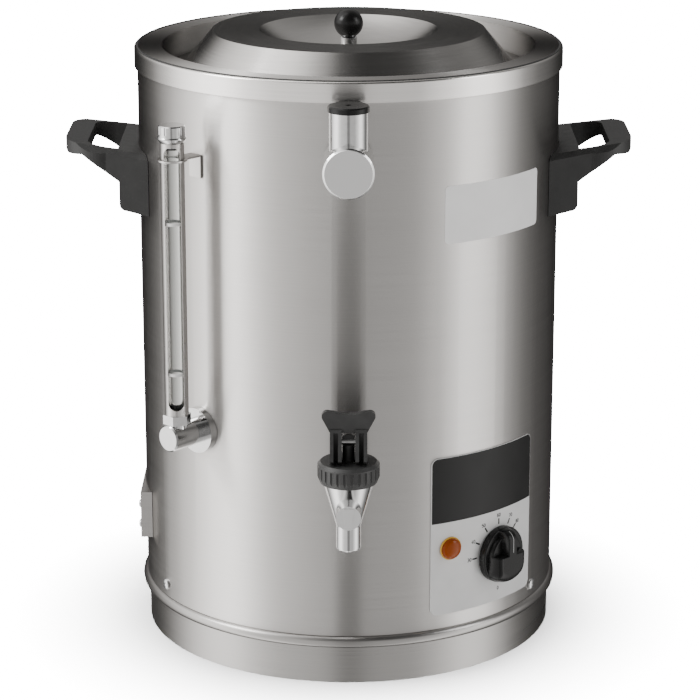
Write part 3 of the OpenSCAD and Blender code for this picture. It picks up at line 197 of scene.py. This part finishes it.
class Look:
    """A procedural material: a Principled shader with textures of its own."""

    def __init__(self, name, metallic=0.0, **sockets):
        self.mat = bpy.data.materials.new(name)
        self.mat.use_nodes = True
        self.tree = self.mat.node_tree
        self.shader = self.tree.nodes["Principled BSDF"]
        self.shader.inputs["Metallic"].default_value = metallic
        for key, value in sockets.items():
            self.shader.inputs[key.replace("_", " ")].default_value = value

    def node(self, kind, **props):
        return new_node(self.tree, kind, **props)

    def link(self, a, b):
        self.tree.links.new(a, b)

    def place(self, scale):
        """Coordinates stretched by scale, in lengths of a metre."""
        coord = self.node("ShaderNodeTexCoord")
        mapping = self.node("ShaderNodeMapping")
        mapping.inputs["Scale"].default_value = scale
        self.link(coord.outputs["Object"], mapping.inputs["Vector"])
        return mapping.outputs["Vector"]

    def turned_place(self, across, around, up):
        """Coordinates by distance from the vessel's axis, direction and height, for lathe marks."""
        coord = self.node("ShaderNodeTexCoord")
        split = self.node("ShaderNodeSeparateXYZ")
        self.link(coord.outputs["Object"], split.inputs["Vector"])
        flat = self.node("ShaderNodeCombineXYZ")
        self.link(split.outputs["X"], flat.inputs["X"])
        self.link(split.outputs["Y"], flat.inputs["Y"])
        length = self.node("ShaderNodeVectorMath", operation="LENGTH")
        self.link(flat.outputs["Vector"], length.inputs[0])
        out = self.node("ShaderNodeCombineXYZ")
        turn = self.node("ShaderNodeMath", operation="ARCTAN2")
        self.link(split.outputs["X"], turn.inputs[0])
        self.link(split.outputs["Y"], turn.inputs[1])
        parts = (("X", length.outputs["Value"], across), ("Y", turn.outputs["Value"], around),
                 ("Z", split.outputs["Z"], up))
        for axis, value, scale in parts:
            times = self.node("ShaderNodeMath", operation="MULTIPLY")
            times.inputs[1].default_value = scale
            self.link(value, times.inputs[0])
            self.link(times.outputs["Value"], out.inputs[axis])
        return out.outputs["Vector"]

    def noise(self, vector, scale, detail=3.0):
        n = self.node("ShaderNodeTexNoise")
        n.inputs["Scale"].default_value = scale
        n.inputs["Detail"].default_value = detail
        self.link(vector, n.inputs["Vector"])
        return n.outputs["Fac"]

    def colour(self, fac, dark, light, low=NOISE_LOW, high=NOISE_HIGH):
        ramp = self.node("ShaderNodeValToRGB")
        for stop, place, tone in zip(ramp.color_ramp.elements, (low, high), (dark, light)):
            stop.position = place
            stop.color = (*tone, 1.0)
        self.link(fac, ramp.inputs["Fac"])
        self.link(ramp.outputs["Color"], self.shader.inputs["Base Color"])

    def rough(self, fac, low, high):
        span = self.node("ShaderNodeMapRange")
        span.inputs["From Min"].default_value = NOISE_LOW
        span.inputs["From Max"].default_value = NOISE_HIGH
        span.inputs["To Min"].default_value = low
        span.inputs["To Max"].default_value = high
        self.link(fac, span.inputs["Value"])
        self.link(span.outputs["Result"], self.shader.inputs["Roughness"])

    def bump(self, fac, height, strength):
        """Relief of a height in millimetres."""
        bump = self.node("ShaderNodeBump")
        bump.inputs["Strength"].default_value = strength
        bump.inputs["Distance"].default_value = height * MM
        self.link(fac, bump.inputs["Height"])
        self.link(bump.outputs["Normal"], self.shader.inputs["Normal"])

    def tangent(self):
        n = self.node("ShaderNodeTangent", direction_type="RADIAL", axis="Z")
        self.link(n.outputs["Tangent"], self.shader.inputs["Tangent"])


def grey(v, warm=0.0):
    """Grey of a brightness, a little warmer where asked."""
    return (v * (1 + warm), v, v * (1 - warm))


def brushed(name, tone, roughness, spread, scale):
    """Steel brushed round the vessel: fine level lines, and light drawn out along the height."""
    look = Look(name, 1.0, Anisotropic=spread, Anisotropic_Rotation=0.25)
    look.shader.inputs["Specular Tint"].default_value = (*grey(0.25), 1.0)
    lines = look.noise(look.place(scale), scale=1.0, detail=4.0)
    look.colour(lines, grey(tone * 0.96, STEEL_WARMTH), grey(tone * 1.02, STEEL_WARMTH))
    look.rough(lines, roughness * 0.9, roughness * 1.12)
    look.bump(lines, height=0.006, strength=0.08)
    look.tangent()
    return look.mat


def lathe_steel(name, tone, roughness):
    """Steel with fine turning marks round the vessel's axis."""
    look = Look(name, 1.0, Anisotropic=0.5, Anisotropic_Rotation=0.25)
    look.shader.inputs["Specular Tint"].default_value = (*grey(0.5), 1.0)
    marks = look.noise(look.turned_place(across=900.0, around=3.0, up=900.0), scale=1.0, detail=4.0)
    look.colour(marks, grey(tone * 0.96, STEEL_WARMTH), grey(tone * 1.03, STEEL_WARMTH))
    look.rough(marks, roughness * 0.92, roughness * 1.1)
    look.bump(marks, height=0.006, strength=0.1)
    look.tangent()
    return look.mat


def metal(name, dark, light, rough_low, rough_high, grain, height):
    """Cast, drawn or plated metal with a faint even grain."""
    look = Look(name, 1.0)
    spots = look.noise(look.place(EVENLY), grain)
    look.colour(spots, dark, light)
    look.rough(spots, rough_low, rough_high)
    look.bump(spots, height, strength=0.15)
    return look.mat


# Front end faces of the plating: a satin roughness, and a lighter colour that is a painted highlight
FACE_FROM, FACE_FULL = 0.6, 0.2
FACE_SPOTS = 0.2
SIDE_ROUGH, FACE_ROUGH = 0.07, 0.36


def plated(name, side, face, face_y, grain):
    """Bright plating with a satin turned face at its front end, at face_y millimetres; the lighter
    tone of that face is a painted highlight.
    """
    look = Look(name, 1.0)
    spots = look.noise(look.place(EVENLY), grain)
    coord = look.node("ShaderNodeTexCoord")
    split = look.node("ShaderNodeSeparateXYZ")
    look.link(coord.outputs["Object"], split.inputs["Vector"])
    front = look.node("ShaderNodeMapRange")
    front.inputs["From Min"].default_value = (face_y + FACE_FROM) * MM
    front.inputs["From Max"].default_value = (face_y + FACE_FULL) * MM
    look.link(split.outputs["Y"], front.inputs["Value"])
    both = look.node("ShaderNodeMath", operation="MULTIPLY_ADD")
    both.inputs[1].default_value = FACE_SPOTS
    look.link(spots, both.inputs[0])
    look.link(front.outputs["Result"], both.inputs[2])
    # Painted highlight: the front face takes the lighter tone
    look.colour(both.outputs["Value"], grey(side), grey(face), low=0.05, high=1.0)
    span = look.node("ShaderNodeMapRange")
    span.inputs["To Min"].default_value = SIDE_ROUGH
    span.inputs["To Max"].default_value = FACE_ROUGH
    look.link(both.outputs["Value"], span.inputs["Value"])
    look.link(span.outputs["Result"], look.shader.inputs["Roughness"])
    look.bump(spots, height=0.008, strength=0.15)
    return look.mat


def moulded(name, dark, light, rough_low, rough_high, grain, height, **sockets):
    """Moulded plastic, rubber or paint with a fine grain."""
    look = Look(name, 0.0, **sockets)
    broad = look.noise(look.place(EVENLY), grain / 12, detail=2.0)
    fine = look.noise(look.place(EVENLY), grain, detail=3.0)
    look.colour(broad, dark, light)
    look.rough(broad, rough_low, rough_high)
    look.bump(fine, height, strength=0.35)
    return look.mat


def clear(name, tint, roughness, ior):
    """Clear glass with a faint waviness."""
    look = Look(name, 0.0, Transmission_Weight=1.0, IOR=ior)
    waves = look.noise(look.place((1, 1, 0.2)), scale=60.0, detail=2.0)
    look.colour(waves, tuple(0.97 * t for t in tint), tint)
    look.rough(waves, roughness, roughness * 1.5)
    look.bump(waves, height=0.05, strength=0.1)
    return look.mat


# Tones and roughness from low to high, then the grain per metre and its height in millimetres
MATERIALS = {
    "brushed_steel": brushed("steel_brushed", 0.62, 0.36, 1.0, BRUSH_SCALE),
    "plain_steel": brushed("steel_satin", 0.60, 0.30, 0.3, (40.0, 40.0, 900.0)),
    "screw_steel": metal("steel_bright", grey(0.62), grey(0.72), 0.16, 0.26, 500.0, 0.01),
    "chrome": metal("chrome_plate", grey(0.62), grey(0.68), 0.07, 0.12, 300.0, 0.008),
    "brass": metal("brass_fitting", (0.58, 0.42, 0.18), (0.68, 0.51, 0.25), 0.25, 0.38, 400.0, 0.02),
    "heater_steel": metal("heater_tube", grey(0.24), grey(0.32), 0.35, 0.5, 300.0, 0.03),
    "black_matte": moulded("black_handle", grey(0.013), grey(0.019), 0.42, 0.52, 1500.0, 0.03),
    "black_gloss": moulded("black_knob", grey(0.005), grey(0.008), 0.22, 0.28, 800.0, 0.005,
                           Specular_IOR_Level=0.25),
    "grey_plastic": moulded("grey_nylon", grey(0.023), grey(0.032), 0.42, 0.55, 1200.0, 0.02),
    "glass": clear("gauge_glass_clear", (0.97, 0.985, 0.98), 0.02, 1.25),
    "white_plastic": moulded("white_nylon", grey(0.74), grey(0.80, 0.01), 0.35, 0.45, 900.0, 0.01),
    "seal_rubber": moulded("seal_rubber_dark", grey(0.03), grey(0.05), 0.6, 0.75, 900.0, 0.02),
    "panel_grey": moulded("panel_print_grey", grey(0.66), grey(0.72), 0.30, 0.38, 700.0, 0.006),
    "amber": moulded("lamp_amber", (0.25, 0.045, 0.002), (0.31, 0.062, 0.003), 0.10, 0.16, 250.0, 0.03,
                     Specular_IOR_Level=0.2),
}
LID_STEEL = lathe_steel("steel_lid", 0.52, 0.20)
PANEL_DARK = moulded("panel_print_dark", grey(0.006), grey(0.009), 0.34, 0.42, 700.0, 0.006,
                     Specular_IOR_Level=0.25)
INK_BLACK = moulded("print_black", grey(0.012), grey(0.018), 0.4, 0.5, 900.0, 0.004)
INK_WHITE = moulded("print_white", grey(0.34), grey(0.40), 0.4, 0.5, 900.0, 0.004)
PLATE_PALE = moulded("plate_white", grey(0.84), grey(0.89), 0.28, 0.36, 600.0, 0.006)
LAMP_RIM = moulded("lamp_rim_amber", (0.62, 0.33, 0.03), (0.72, 0.42, 0.06), 0.15, 0.22, 400.0, 0.01)
OWN_LOOKS = {
    # The base pan's steel is a darker copy of the brushed steel: painted shade for the darker lower
    # body
    "base_pan": brushed("steel_pan_painted_shade", 0.42, 0.30, 0.4, BRUSH_SCALE),
    "lid": LID_STEEL,
    # The rim ring's steel is polished, with less roughness, and its lighter tone is a painted
    # highlight
    "rim_ring": brushed("steel_rim_painted_highlight", 0.86, 0.20, 0.8, BRUSH_SCALE),
    "filler_stub": plated("chrome_filler_painted_highlight", 0.64, 0.92, -192.0, 300.0),
    "tap_body": plated("chrome_tap_painted_highlight", 0.64, 0.92, -215.0, 300.0),
}

for part in frame["record"]["subparts"]:
    node = frame["nodes"][part["node"]]
    mat = OWN_LOOKS.get(part["node"]) or MATERIALS[part["material_slot"]]
    for holder in node.material_slots:
        holder.material = mat


# Printed panel, blank plate and dial marks

PRINT_LIFT = 0.02
PRINT_T = 0.06
SHEET_T = 0.12
FIELD_INSET = 0.3
FIELD_CORNERS = (0.0, 4.6)
PLATE_CORNERS = (3.0, 3.0)
TICK_ANGLES = (-90, -62, -33, 0, 28, 50)
TICK_NUMBERS = ("30", "40", "50", "60", "70", "80")
ZERO_ANGLE = 180
MARKS_RISE = 1.0
TICK_FROM_R = 20.7
TICK_LONG = 4.2
TICK_W = 1.2
NUMBER_R = 27.4
NUMBER_H = 2.4
NUMBER_W = 1.3
NUMBER_STEP = 1.9
NUMBER_STROKE = 0.5


def oval(cx, cy, rx, ry, a0, a1, n=14):
    """Points along part of an oval, from one angle to another."""
    return [(cx + rx * math.cos(math.radians(a0 + (a1 - a0) * i / n)),
             cy + ry * math.sin(math.radians(a0 + (a1 - a0) * i / n))) for i in range(n + 1)]


# Strokes of each figure in a cell one wide and one high about its middle
FIGURES = {
    "0": [oval(0, 0, 0.5, 0.5, 0, 360, 20)],
    "3": [oval(-0.08, 0.24, 0.55, 0.26, 140, -90), oval(-0.08, -0.24, 0.58, 0.26, 90, -140)],
    "4": [[(0.2, -0.5), (0.2, 0.5), (-0.5, -0.18), (0.5, -0.18)]],
    "5": [[(0.45, 0.5), (-0.4, 0.5), (-0.45, 0.05)] + oval(0, -0.16, 0.5, 0.34, 130, -140)],
    "6": [oval(0.1, 0.0, 0.6, 0.5, 70, 180, 8) + oval(0, -0.2, 0.5, 0.3, 180, 540, 18)],
    "7": [[(-0.5, 0.5), (0.5, 0.5), (-0.1, -0.5)]],
    "8": [oval(0, 0.25, 0.42, 0.25, -90, 270, 18), oval(0, -0.25, 0.5, 0.25, 90, 450, 18)],
}


def on_panel(x, y, lift):
    """Point on the panel's face, x along the wall and y up from the middle of the ring of marks."""
    r = PANEL_R + PRINT_LIFT + lift
    return wall_point(DIAL_PHI + math.degrees(x / PANEL_R), DIAL_Z + MARKS_RISE + y, r)


def around_dial(angle, r):
    """Place at a distance from the dial's middle, clockwise from the top."""
    a = math.radians(angle)
    return r * math.sin(a), r * math.cos(a)


def tick(angle):
    """Stroke that points at the dial."""
    line = [around_dial(angle, TICK_FROM_R), around_dial(angle, TICK_FROM_R + TICK_LONG)]
    return ribbon(on_panel, line, TICK_W, PRINT_T)


def number(text, angle):
    """Upright number beyond a tick."""
    cx, cy = around_dial(angle, NUMBER_R)
    parts = []
    for i, figure in enumerate(text):
        x0 = cx + (i - (len(text) - 1) / 2) * NUMBER_STEP
        for stroke in FIGURES[figure]:
            line = [(x0 + x * NUMBER_W, cy + y * NUMBER_H) for x, y in stroke]
            parts.append(ribbon(on_panel, line, NUMBER_STROKE, PRINT_T))
    return joined(parts)


marks = [tick(a) for a in TICK_ANGLES] + [number(t, a) for t, a in zip(TICK_NUMBERS, TICK_ANGLES)]
marks += [number("0", ZERO_ANGLE)]
piece("dial_marks", *joined(marks), INK_BLACK, "urn", "black_matte", smooth=False)

wall_sheet("panel_dark_field", PANEL_PHI, PANEL_HALF_ANGLE, FIELD_Z, PANEL_TOP_Z - FIELD_INSET,
           PANEL_R + PRINT_LIFT, SHEET_T, FIELD_CORNERS, PANEL_DARK, "panel_grey")
wall_sheet("blank_plate", PLATE_PHI, PLATE_HALF_ANGLE, *PLATE_Z,
           SHELL_R + PRINT_LIFT, SHEET_T, PLATE_CORNERS, PLATE_PALE, "panel_grey")

# Dial with a round lower body and a narrow bar above it, softly rounded as a moulding is
DIAL_R = 20.25
SKIRT_T = 5.0
HUB_T = 8.0
HUB_R = 15.7
BODY_TOP = 3.0
BODY_HALF_W = 15.6
BAR_HALF_W = 5.0
GRIP_INSET = 0.6
RIM_ROUND = 1.0
END_ROUND = 7.2
SIDE_ROUND = 5.6
EDGE_ROUND = 1.6
POCKET_R = 8.1
POCKET_DEPTH = 3.0
POINTER_FROM = 4.0
POINTER_TO = 18.65
POINTER_STEPS = 24
POINTER_W = 0.6
POINTER_T = 0.05


def rounded(inside, width):
    """Height share of a rounded edge, from 0 on its outline to 1 at a width inside it."""
    t = 1 - min(max(inside / width, 0.0), 1.0)
    return math.sqrt(1 - t * t)


def dial_height(x, y):
    """Height of the dial's front above its back, across x and up y from its shaft."""
    r = math.hypot(x, y)
    end = rounded(DIAL_R - GRIP_INSET - r, END_ROUND)
    body = rounded(BODY_HALF_W - abs(x), SIDE_ROUND) * rounded(BODY_TOP - y, EDGE_ROUND)
    bar = rounded(BAR_HALF_W - abs(x), EDGE_ROUND) if y > 0 else 0.0
    grip = SKIRT_T + (DIAL_DEPTH - SKIRT_T) * end * max(body, bar)
    hub = SKIRT_T + (HUB_T - SKIRT_T) * rounded(HUB_R - r, EDGE_ROUND)
    return max(grip, hub) - RIM_ROUND + RIM_ROUND * rounded(DIAL_R - r, RIM_ROUND)


def dial_body(rings=64, segments=240):
    """Closed mesh of the dial under dial_height, with a pocket for the nut in its flat back."""
    turns = [2 * math.pi * s / segments for s in range(segments)]
    circle = [(math.cos(a), math.sin(a)) for a in turns]
    points = [(0.0, 0.0, dial_height(0.0, 0.0))]
    for k in range(1, rings + 1):
        r = DIAL_R * k / rings
        points += [(r * x, r * y, dial_height(r * x, r * y)) for x, y in circle]
    for r, h in ((DIAL_R, 0.0), (POCKET_R, 0.0), (POCKET_R, POCKET_DEPTH)):
        points += [(r * x, r * y, h) for x, y in circle]
    faces = []
    for s in range(segments):
        t = (s + 1) % segments
        faces.append((0, 1 + s, 1 + t))
        for k in range(rings + 2):
            a, b = 1 + k * segments, 1 + (k + 1) * segments
            faces.append((a + s, b + s, b + t, a + t))
    last = 1 + (rings + 2) * segments
    faces.append(tuple(range(last + segments - 1, last - 1, -1)))
    return points, faces


dial = wall_frame(DIAL_PHI, DIAL_Z, DIAL_BACK_R)
points, faces = dial_body()
knob = piece("dial_body", [dial @ Vector(p) for p in points], faces,
             MATERIALS["black_gloss"], "dial", "black_gloss")
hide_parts("thermostat_knob")

# White line along the dial's bar and over its rounded end
pointer_line = [(0.0, POINTER_FROM + (POINTER_TO - POINTER_FROM) * i / POINTER_STEPS)
                for i in range(POINTER_STEPS + 1)]


def on_bar(x, y, lift):
    """Point on the front of the dial's bar."""
    return dial @ Vector((x, y, dial_height(0.0, y) + PRINT_LIFT + lift))


piece("dial_pointer", *ribbon(on_bar, pointer_line, POINTER_W, POINTER_T),
      INK_WHITE, "dial", "white_plastic", smooth=False)

# Rim of the lamp's lens, by radius and distance from the panel
lamp = wall_frame(LAMP_PHI, LAMP_Z, PANEL_R)
LAMP_RIM_PROFILE = [(LAMP_R + 0.05, 0.1), (LAMP_R + 0.9, 0.1), (LAMP_R + 0.85, 0.9),
                    (LAMP_R + 0.45, 1.35), (LAMP_R + 0.05, 1.2)]
piece("lamp_rim", *turned(lamp, LAMP_RIM_PROFILE), LAMP_RIM, "urn", "amber")

# Dark ring that shows in the seam between the pot's flange and the rim ring
SEAM_R = 149.7
SEAM_HALF_W = 0.75
SEAM_H = 0.6
SEAM_SUNK = 0.4
SEAM_PROFILE = [(SEAM_R - SEAM_HALF_W, RIM_Z - SEAM_SUNK), (SEAM_R + SEAM_HALF_W, RIM_Z - SEAM_SUNK),
                (SEAM_R + SEAM_HALF_W, RIM_Z + SEAM_H / 2), (SEAM_R + SEAM_HALF_W / 2, RIM_Z + SEAM_H),
                (SEAM_R - SEAM_HALF_W / 2, RIM_Z + SEAM_H), (SEAM_R - SEAM_HALF_W, RIM_Z + SEAM_H / 2)]
piece("rim_seam", *turned(Matrix.Scale(MM, 4), SEAM_PROFILE, 240), INK_BLACK, "urn", "seal_rubber")

# Return spring in the tap
TAP_Y = -185.0
SPRING_Z = (154.3, 172.2)
SPRING_R = 7.2
SPRING_WIRE_R = 0.6
SPRING_TURNS = 6


def coil(steps_per_turn=24, sides=10):
    """Round wire on a helix about the tap's axis: vertices and faces."""
    steps = SPRING_TURNS * steps_per_turn
    low, high = SPRING_Z[0] + SPRING_WIRE_R, SPRING_Z[1] - SPRING_WIRE_R
    up = Vector((0, 0, 1))
    verts, faces = [], []
    for i in range(steps + 1):
        a = 2 * math.pi * i / steps_per_turn
        out = Vector((math.cos(a), math.sin(a), 0))
        middle = Vector((0, TAP_Y, low + (high - low) * i / steps)) + out * SPRING_R
        for k in range(sides):
            b = 2 * math.pi * k / sides
            verts.append((middle + (out * math.cos(b) + up * math.sin(b)) * SPRING_WIRE_R) * MM)
    for i in range(steps):
        for k in range(sides):
            a, b = i * sides + k, i * sides + (k + 1) % sides
            faces.append((a, a + sides, b + sides, b))
    last = steps * sides
    faces += [tuple(range(sides)), tuple(range(last + sides - 1, last - 1, -1))]
    return verts, faces


spring = piece("return_spring", *coil(), MATERIALS["screw_steel"], "urn", "screw_steel")
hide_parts("tap_spring")
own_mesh(spring)

# Fine edge rounds on the moulded and cast CAD pieces
EDGE_ROUNDS = {
    "handle_left": 1.6, "handle_right": 1.6, "tap_lever": 0.7, "tap_collar": 0.3, "tap_body": 0.4,
    "filler_stub": 0.4, "gauge_elbow": 0.3, "gauge_nut": 0.4, "tap_back_nut": 0.5,
    "gauge_top_cap": 0.25, "side_cover": 0.5, "filler_cap": 0.4, "gauge_sleeve": 0.15,
}
EDGE_STEPS = 3
for name, width in EDGE_ROUNDS.items():
    rounds = frame["nodes"][name].modifiers.new("edge_rounds", "BEVEL")
    rounds.width = width * MM
    rounds.segments = EDGE_STEPS
    rounds.limit_method = "ANGLE"
    rounds.angle_limit = math.radians(SHARP_ANGLE)
    rounds.harden_normals = True

# Even shading across the seams of the round sheet pieces
ROUND_SHEETS = ("outer_shell", "rim_ring", "base_pan", "milk_pot", "lid")
SEAM_GAP = 0.01
for name in ROUND_SHEETS:
    sheet = frame["nodes"][name]
    weld = sheet.modifiers.new("seam_weld", "WELD")
    weld.merge_threshold = SEAM_GAP * MM
    corners = sheet.modifiers.new("sharp_corners", "EDGE_SPLIT")
    corners.split_angle = math.radians(SHARP_ANGLE)
    even = sheet.modifiers.new("even_normals", "WEIGHTED_NORMAL")
    even.mode = "FACE_AREA_WITH_ANGLE"


# Floor, light and camera

def floor_disc(radius, rings, segments):
    """Flat disc of rings of faces, so that its material can fade outward."""
    verts = [(0.0, 0.0, 0.0)]
    faces = []
    for k in range(1, rings + 1):
        r = radius * k / rings
        for s in range(segments):
            a = 2 * math.pi * s / segments
            verts.append((r * math.cos(a), r * math.sin(a), 0.0))
    for s in range(segments):
        t = (s + 1) % segments
        faces.append((0, 1 + s, 1 + t))
        for k in range(1, rings):
            a, b = 1 + (k - 1) * segments, 1 + k * segments
            faces.append((a + s, b + s, b + t, a + t))
    mesh = bpy.data.meshes.new("studio_floor")
    mesh.from_pydata(verts, [], faces)
    obj = bpy.data.objects.new("studio_floor", mesh)
    bpy.context.scene.collection.objects.link(obj)
    return obj


def fading_floor(name, dark, light, solid_r, clear_r):
    """Pale matt floor that thins out to nothing between two distances from the vessel's axis."""
    mat = moulded(name, dark, light, 0.75, 0.85, 60.0, 0.05)
    tree = mat.node_tree
    coord = new_node(tree, "ShaderNodeTexCoord")
    length = new_node(tree, "ShaderNodeVectorMath", operation="LENGTH")
    fade = new_node(tree, "ShaderNodeMapRange", interpolation_type="SMOOTHSTEP")
    fade.inputs["From Min"].default_value = solid_r
    fade.inputs["From Max"].default_value = clear_r
    fade.inputs["To Min"].default_value = 1.0
    fade.inputs["To Max"].default_value = 0.0
    tree.links.new(coord.outputs["Object"], length.inputs[0])
    tree.links.new(length.outputs["Value"], fade.inputs["Value"])
    tree.links.new(fade.outputs["Result"], tree.nodes["Principled BSDF"].inputs["Alpha"])
    return mat


# In metres
FLOOR_R = 0.30
FLOOR_SOLID_R = 0.12
FLOOR_DROP = 0.0005
floor = floor_disc(FLOOR_R, rings=8, segments=96)
floor.location.z = -FLOOR_DROP
floor.data.materials.append(fading_floor("floor_pale", grey(0.86), grey(0.89), FLOOR_SOLID_R, FLOOR_R))
floor.visible_glossy = False

LIGHT_AIM = (0.0, 0.0, 0.2)
# Place, width and height in metres, and power in watts
SOFTBOXES = {
    "softbox_key": ((-1.8, -0.52, 1.7), (0.9, 0.9), 30.0),
    "softbox_fill": ((1.7, -0.55, 1.3), (0.7, 0.9), 8.0),
}
for name, (place, size, power) in SOFTBOXES.items():
    light = bpy.data.lights.new(name, "AREA")
    light.shape = "RECTANGLE"
    light.size, light.size_y = size
    light.energy = power
    box = bpy.data.objects.new(name, light)
    box.location = place
    box.rotation_euler = (Vector(LIGHT_AIM) - Vector(place)).to_track_quat("-Z", "Y").to_euler()
    bpy.context.scene.collection.objects.link(box)

# Brightness of the studio round the object by direction from the front, in degrees:
# the screens stand level and below, the ceiling is overhead
SCREENS = ((-180, 0.02), (-160, 0.03), (-144, 0.05), (-128, 0.13), (-112, 0.40), (-98, 0.86),
           (-84, 1.24), (-70, 1.28), (-56, 0.72), (-40, 0.46), (-16, 0.38), (-9, 0.34),
           (-6, 0.13), (6, 0.13), (9, 0.26), (16, 0.28), (38, 0.28), (56, 0.55), (70, 0.94),
           (82, 0.89), (94, 0.46), (106, 0.16), (120, 0.08), (150, 0.05), (180, 0.02))
CEILING = ((-180, 0.26), (-140, 0.40), (-110, 0.90), (-75, 1.00), (-45, 0.34), (-15, 0.05),
           (20, 0.02), (75, 0.03), (120, 0.10), (180, 0.26))
SCREEN_TINT = (1.0, 0.985, 0.965)
SURROUND_STRENGTH = 2.6
CEILING_FROM = 0.12
CEILING_FULL = 0.55
BACKDROP = (1.0, 1.0, 1.0, 1.0)
BACKDROP_STRENGTH = 20.0


def direction_ramp(tree, fac, table):
    """Grey by direction, from a table of degrees from the front and brightness."""
    ramp = new_node(tree, "ShaderNodeValToRGB")
    stops = ramp.color_ramp.elements
    while len(stops) < len(table):
        stops.new(0.5)
    for stop, (direction, level) in zip(stops, table):
        stop.position = (direction + 180) / 360
        stop.color = (*(level * tint for tint in SCREEN_TINT), 1.0)
    tree.links.new(fac, ramp.inputs["Fac"])
    return ramp.outputs["Color"]


def studio_world():
    """Bright screens to the left and right, a dimmer ceiling and an even white backdrop."""
    world = bpy.data.worlds.new("studio_world")
    world.use_nodes = True
    tree = world.node_tree
    screens = tree.nodes["Background"]
    screens.inputs["Strength"].default_value = SURROUND_STRENGTH
    coord = new_node(tree, "ShaderNodeTexCoord")
    split = new_node(tree, "ShaderNodeSeparateXYZ")
    tree.links.new(coord.outputs["Generated"], split.inputs["Vector"])

    # Direction from the front, as a share of a full turn
    front = new_node(tree, "ShaderNodeMath", operation="MULTIPLY")
    front.inputs[1].default_value = -1.0
    turn = new_node(tree, "ShaderNodeMath", operation="ARCTAN2")
    span = new_node(tree, "ShaderNodeMapRange")
    span.inputs["From Min"].default_value = -math.pi
    span.inputs["From Max"].default_value = math.pi
    tree.links.new(split.outputs["Y"], front.inputs[0])
    tree.links.new(split.outputs["X"], turn.inputs[0])
    tree.links.new(front.outputs["Value"], turn.inputs[1])
    tree.links.new(turn.outputs["Value"], span.inputs["Value"])

    # Screens below, ceiling above
    rise = new_node(tree, "ShaderNodeMapRange", interpolation_type="SMOOTHSTEP")
    rise.inputs["From Min"].default_value = CEILING_FROM
    rise.inputs["From Max"].default_value = CEILING_FULL
    blend = new_node(tree, "ShaderNodeMixRGB")
    tree.links.new(split.outputs["Z"], rise.inputs["Value"])
    tree.links.new(rise.outputs["Result"], blend.inputs["Fac"])
    for table, socket in ((SCREENS, "Color1"), (CEILING, "Color2")):
        tree.links.new(direction_ramp(tree, span.outputs["Result"], table), blend.inputs[socket])
    tree.links.new(blend.outputs["Color"], screens.inputs["Color"])

    # Backdrop behind the object
    backdrop = new_node(tree, "ShaderNodeBackground")
    backdrop.inputs["Color"].default_value = BACKDROP
    backdrop.inputs["Strength"].default_value = BACKDROP_STRENGTH
    path = new_node(tree, "ShaderNodeLightPath")
    mix = new_node(tree, "ShaderNodeMixShader")
    tree.links.new(path.outputs["Is Camera Ray"], mix.inputs["Fac"])
    tree.links.new(screens.outputs["Background"], mix.inputs[1])
    tree.links.new(backdrop.outputs["Background"], mix.inputs[2])
    tree.links.new(mix.outputs["Shader"], tree.nodes["World Output"].inputs["Surface"])
    bpy.context.scene.world = world


studio_world()

# Camera at the photograph's viewing angle, with its focal length in pixels
PHOTO_SIDE = 700
FOCAL_PX = 2701.0
CAMERA_PLACE = (0.00097, -1.9, 0.759)
CAMERA_PITCH = 0.2865
SENSOR_W = 36.0
CLIP_NEAR, CLIP_FAR = 0.05, 60.0
camera = bpy.data.cameras.new("photo_camera")
camera.sensor_width = SENSOR_W
camera.lens = FOCAL_PX / PHOTO_SIDE * SENSOR_W
camera.clip_start, camera.clip_end = CLIP_NEAR, CLIP_FAR
viewer = bpy.data.objects.new("photo_camera", camera)
viewer.location = CAMERA_PLACE
viewer.rotation_euler = (math.pi / 2 - CAMERA_PITCH, 0.0, 0.0)
bpy.context.scene.collection.objects.link(viewer)
bpy.context.scene.camera = viewer
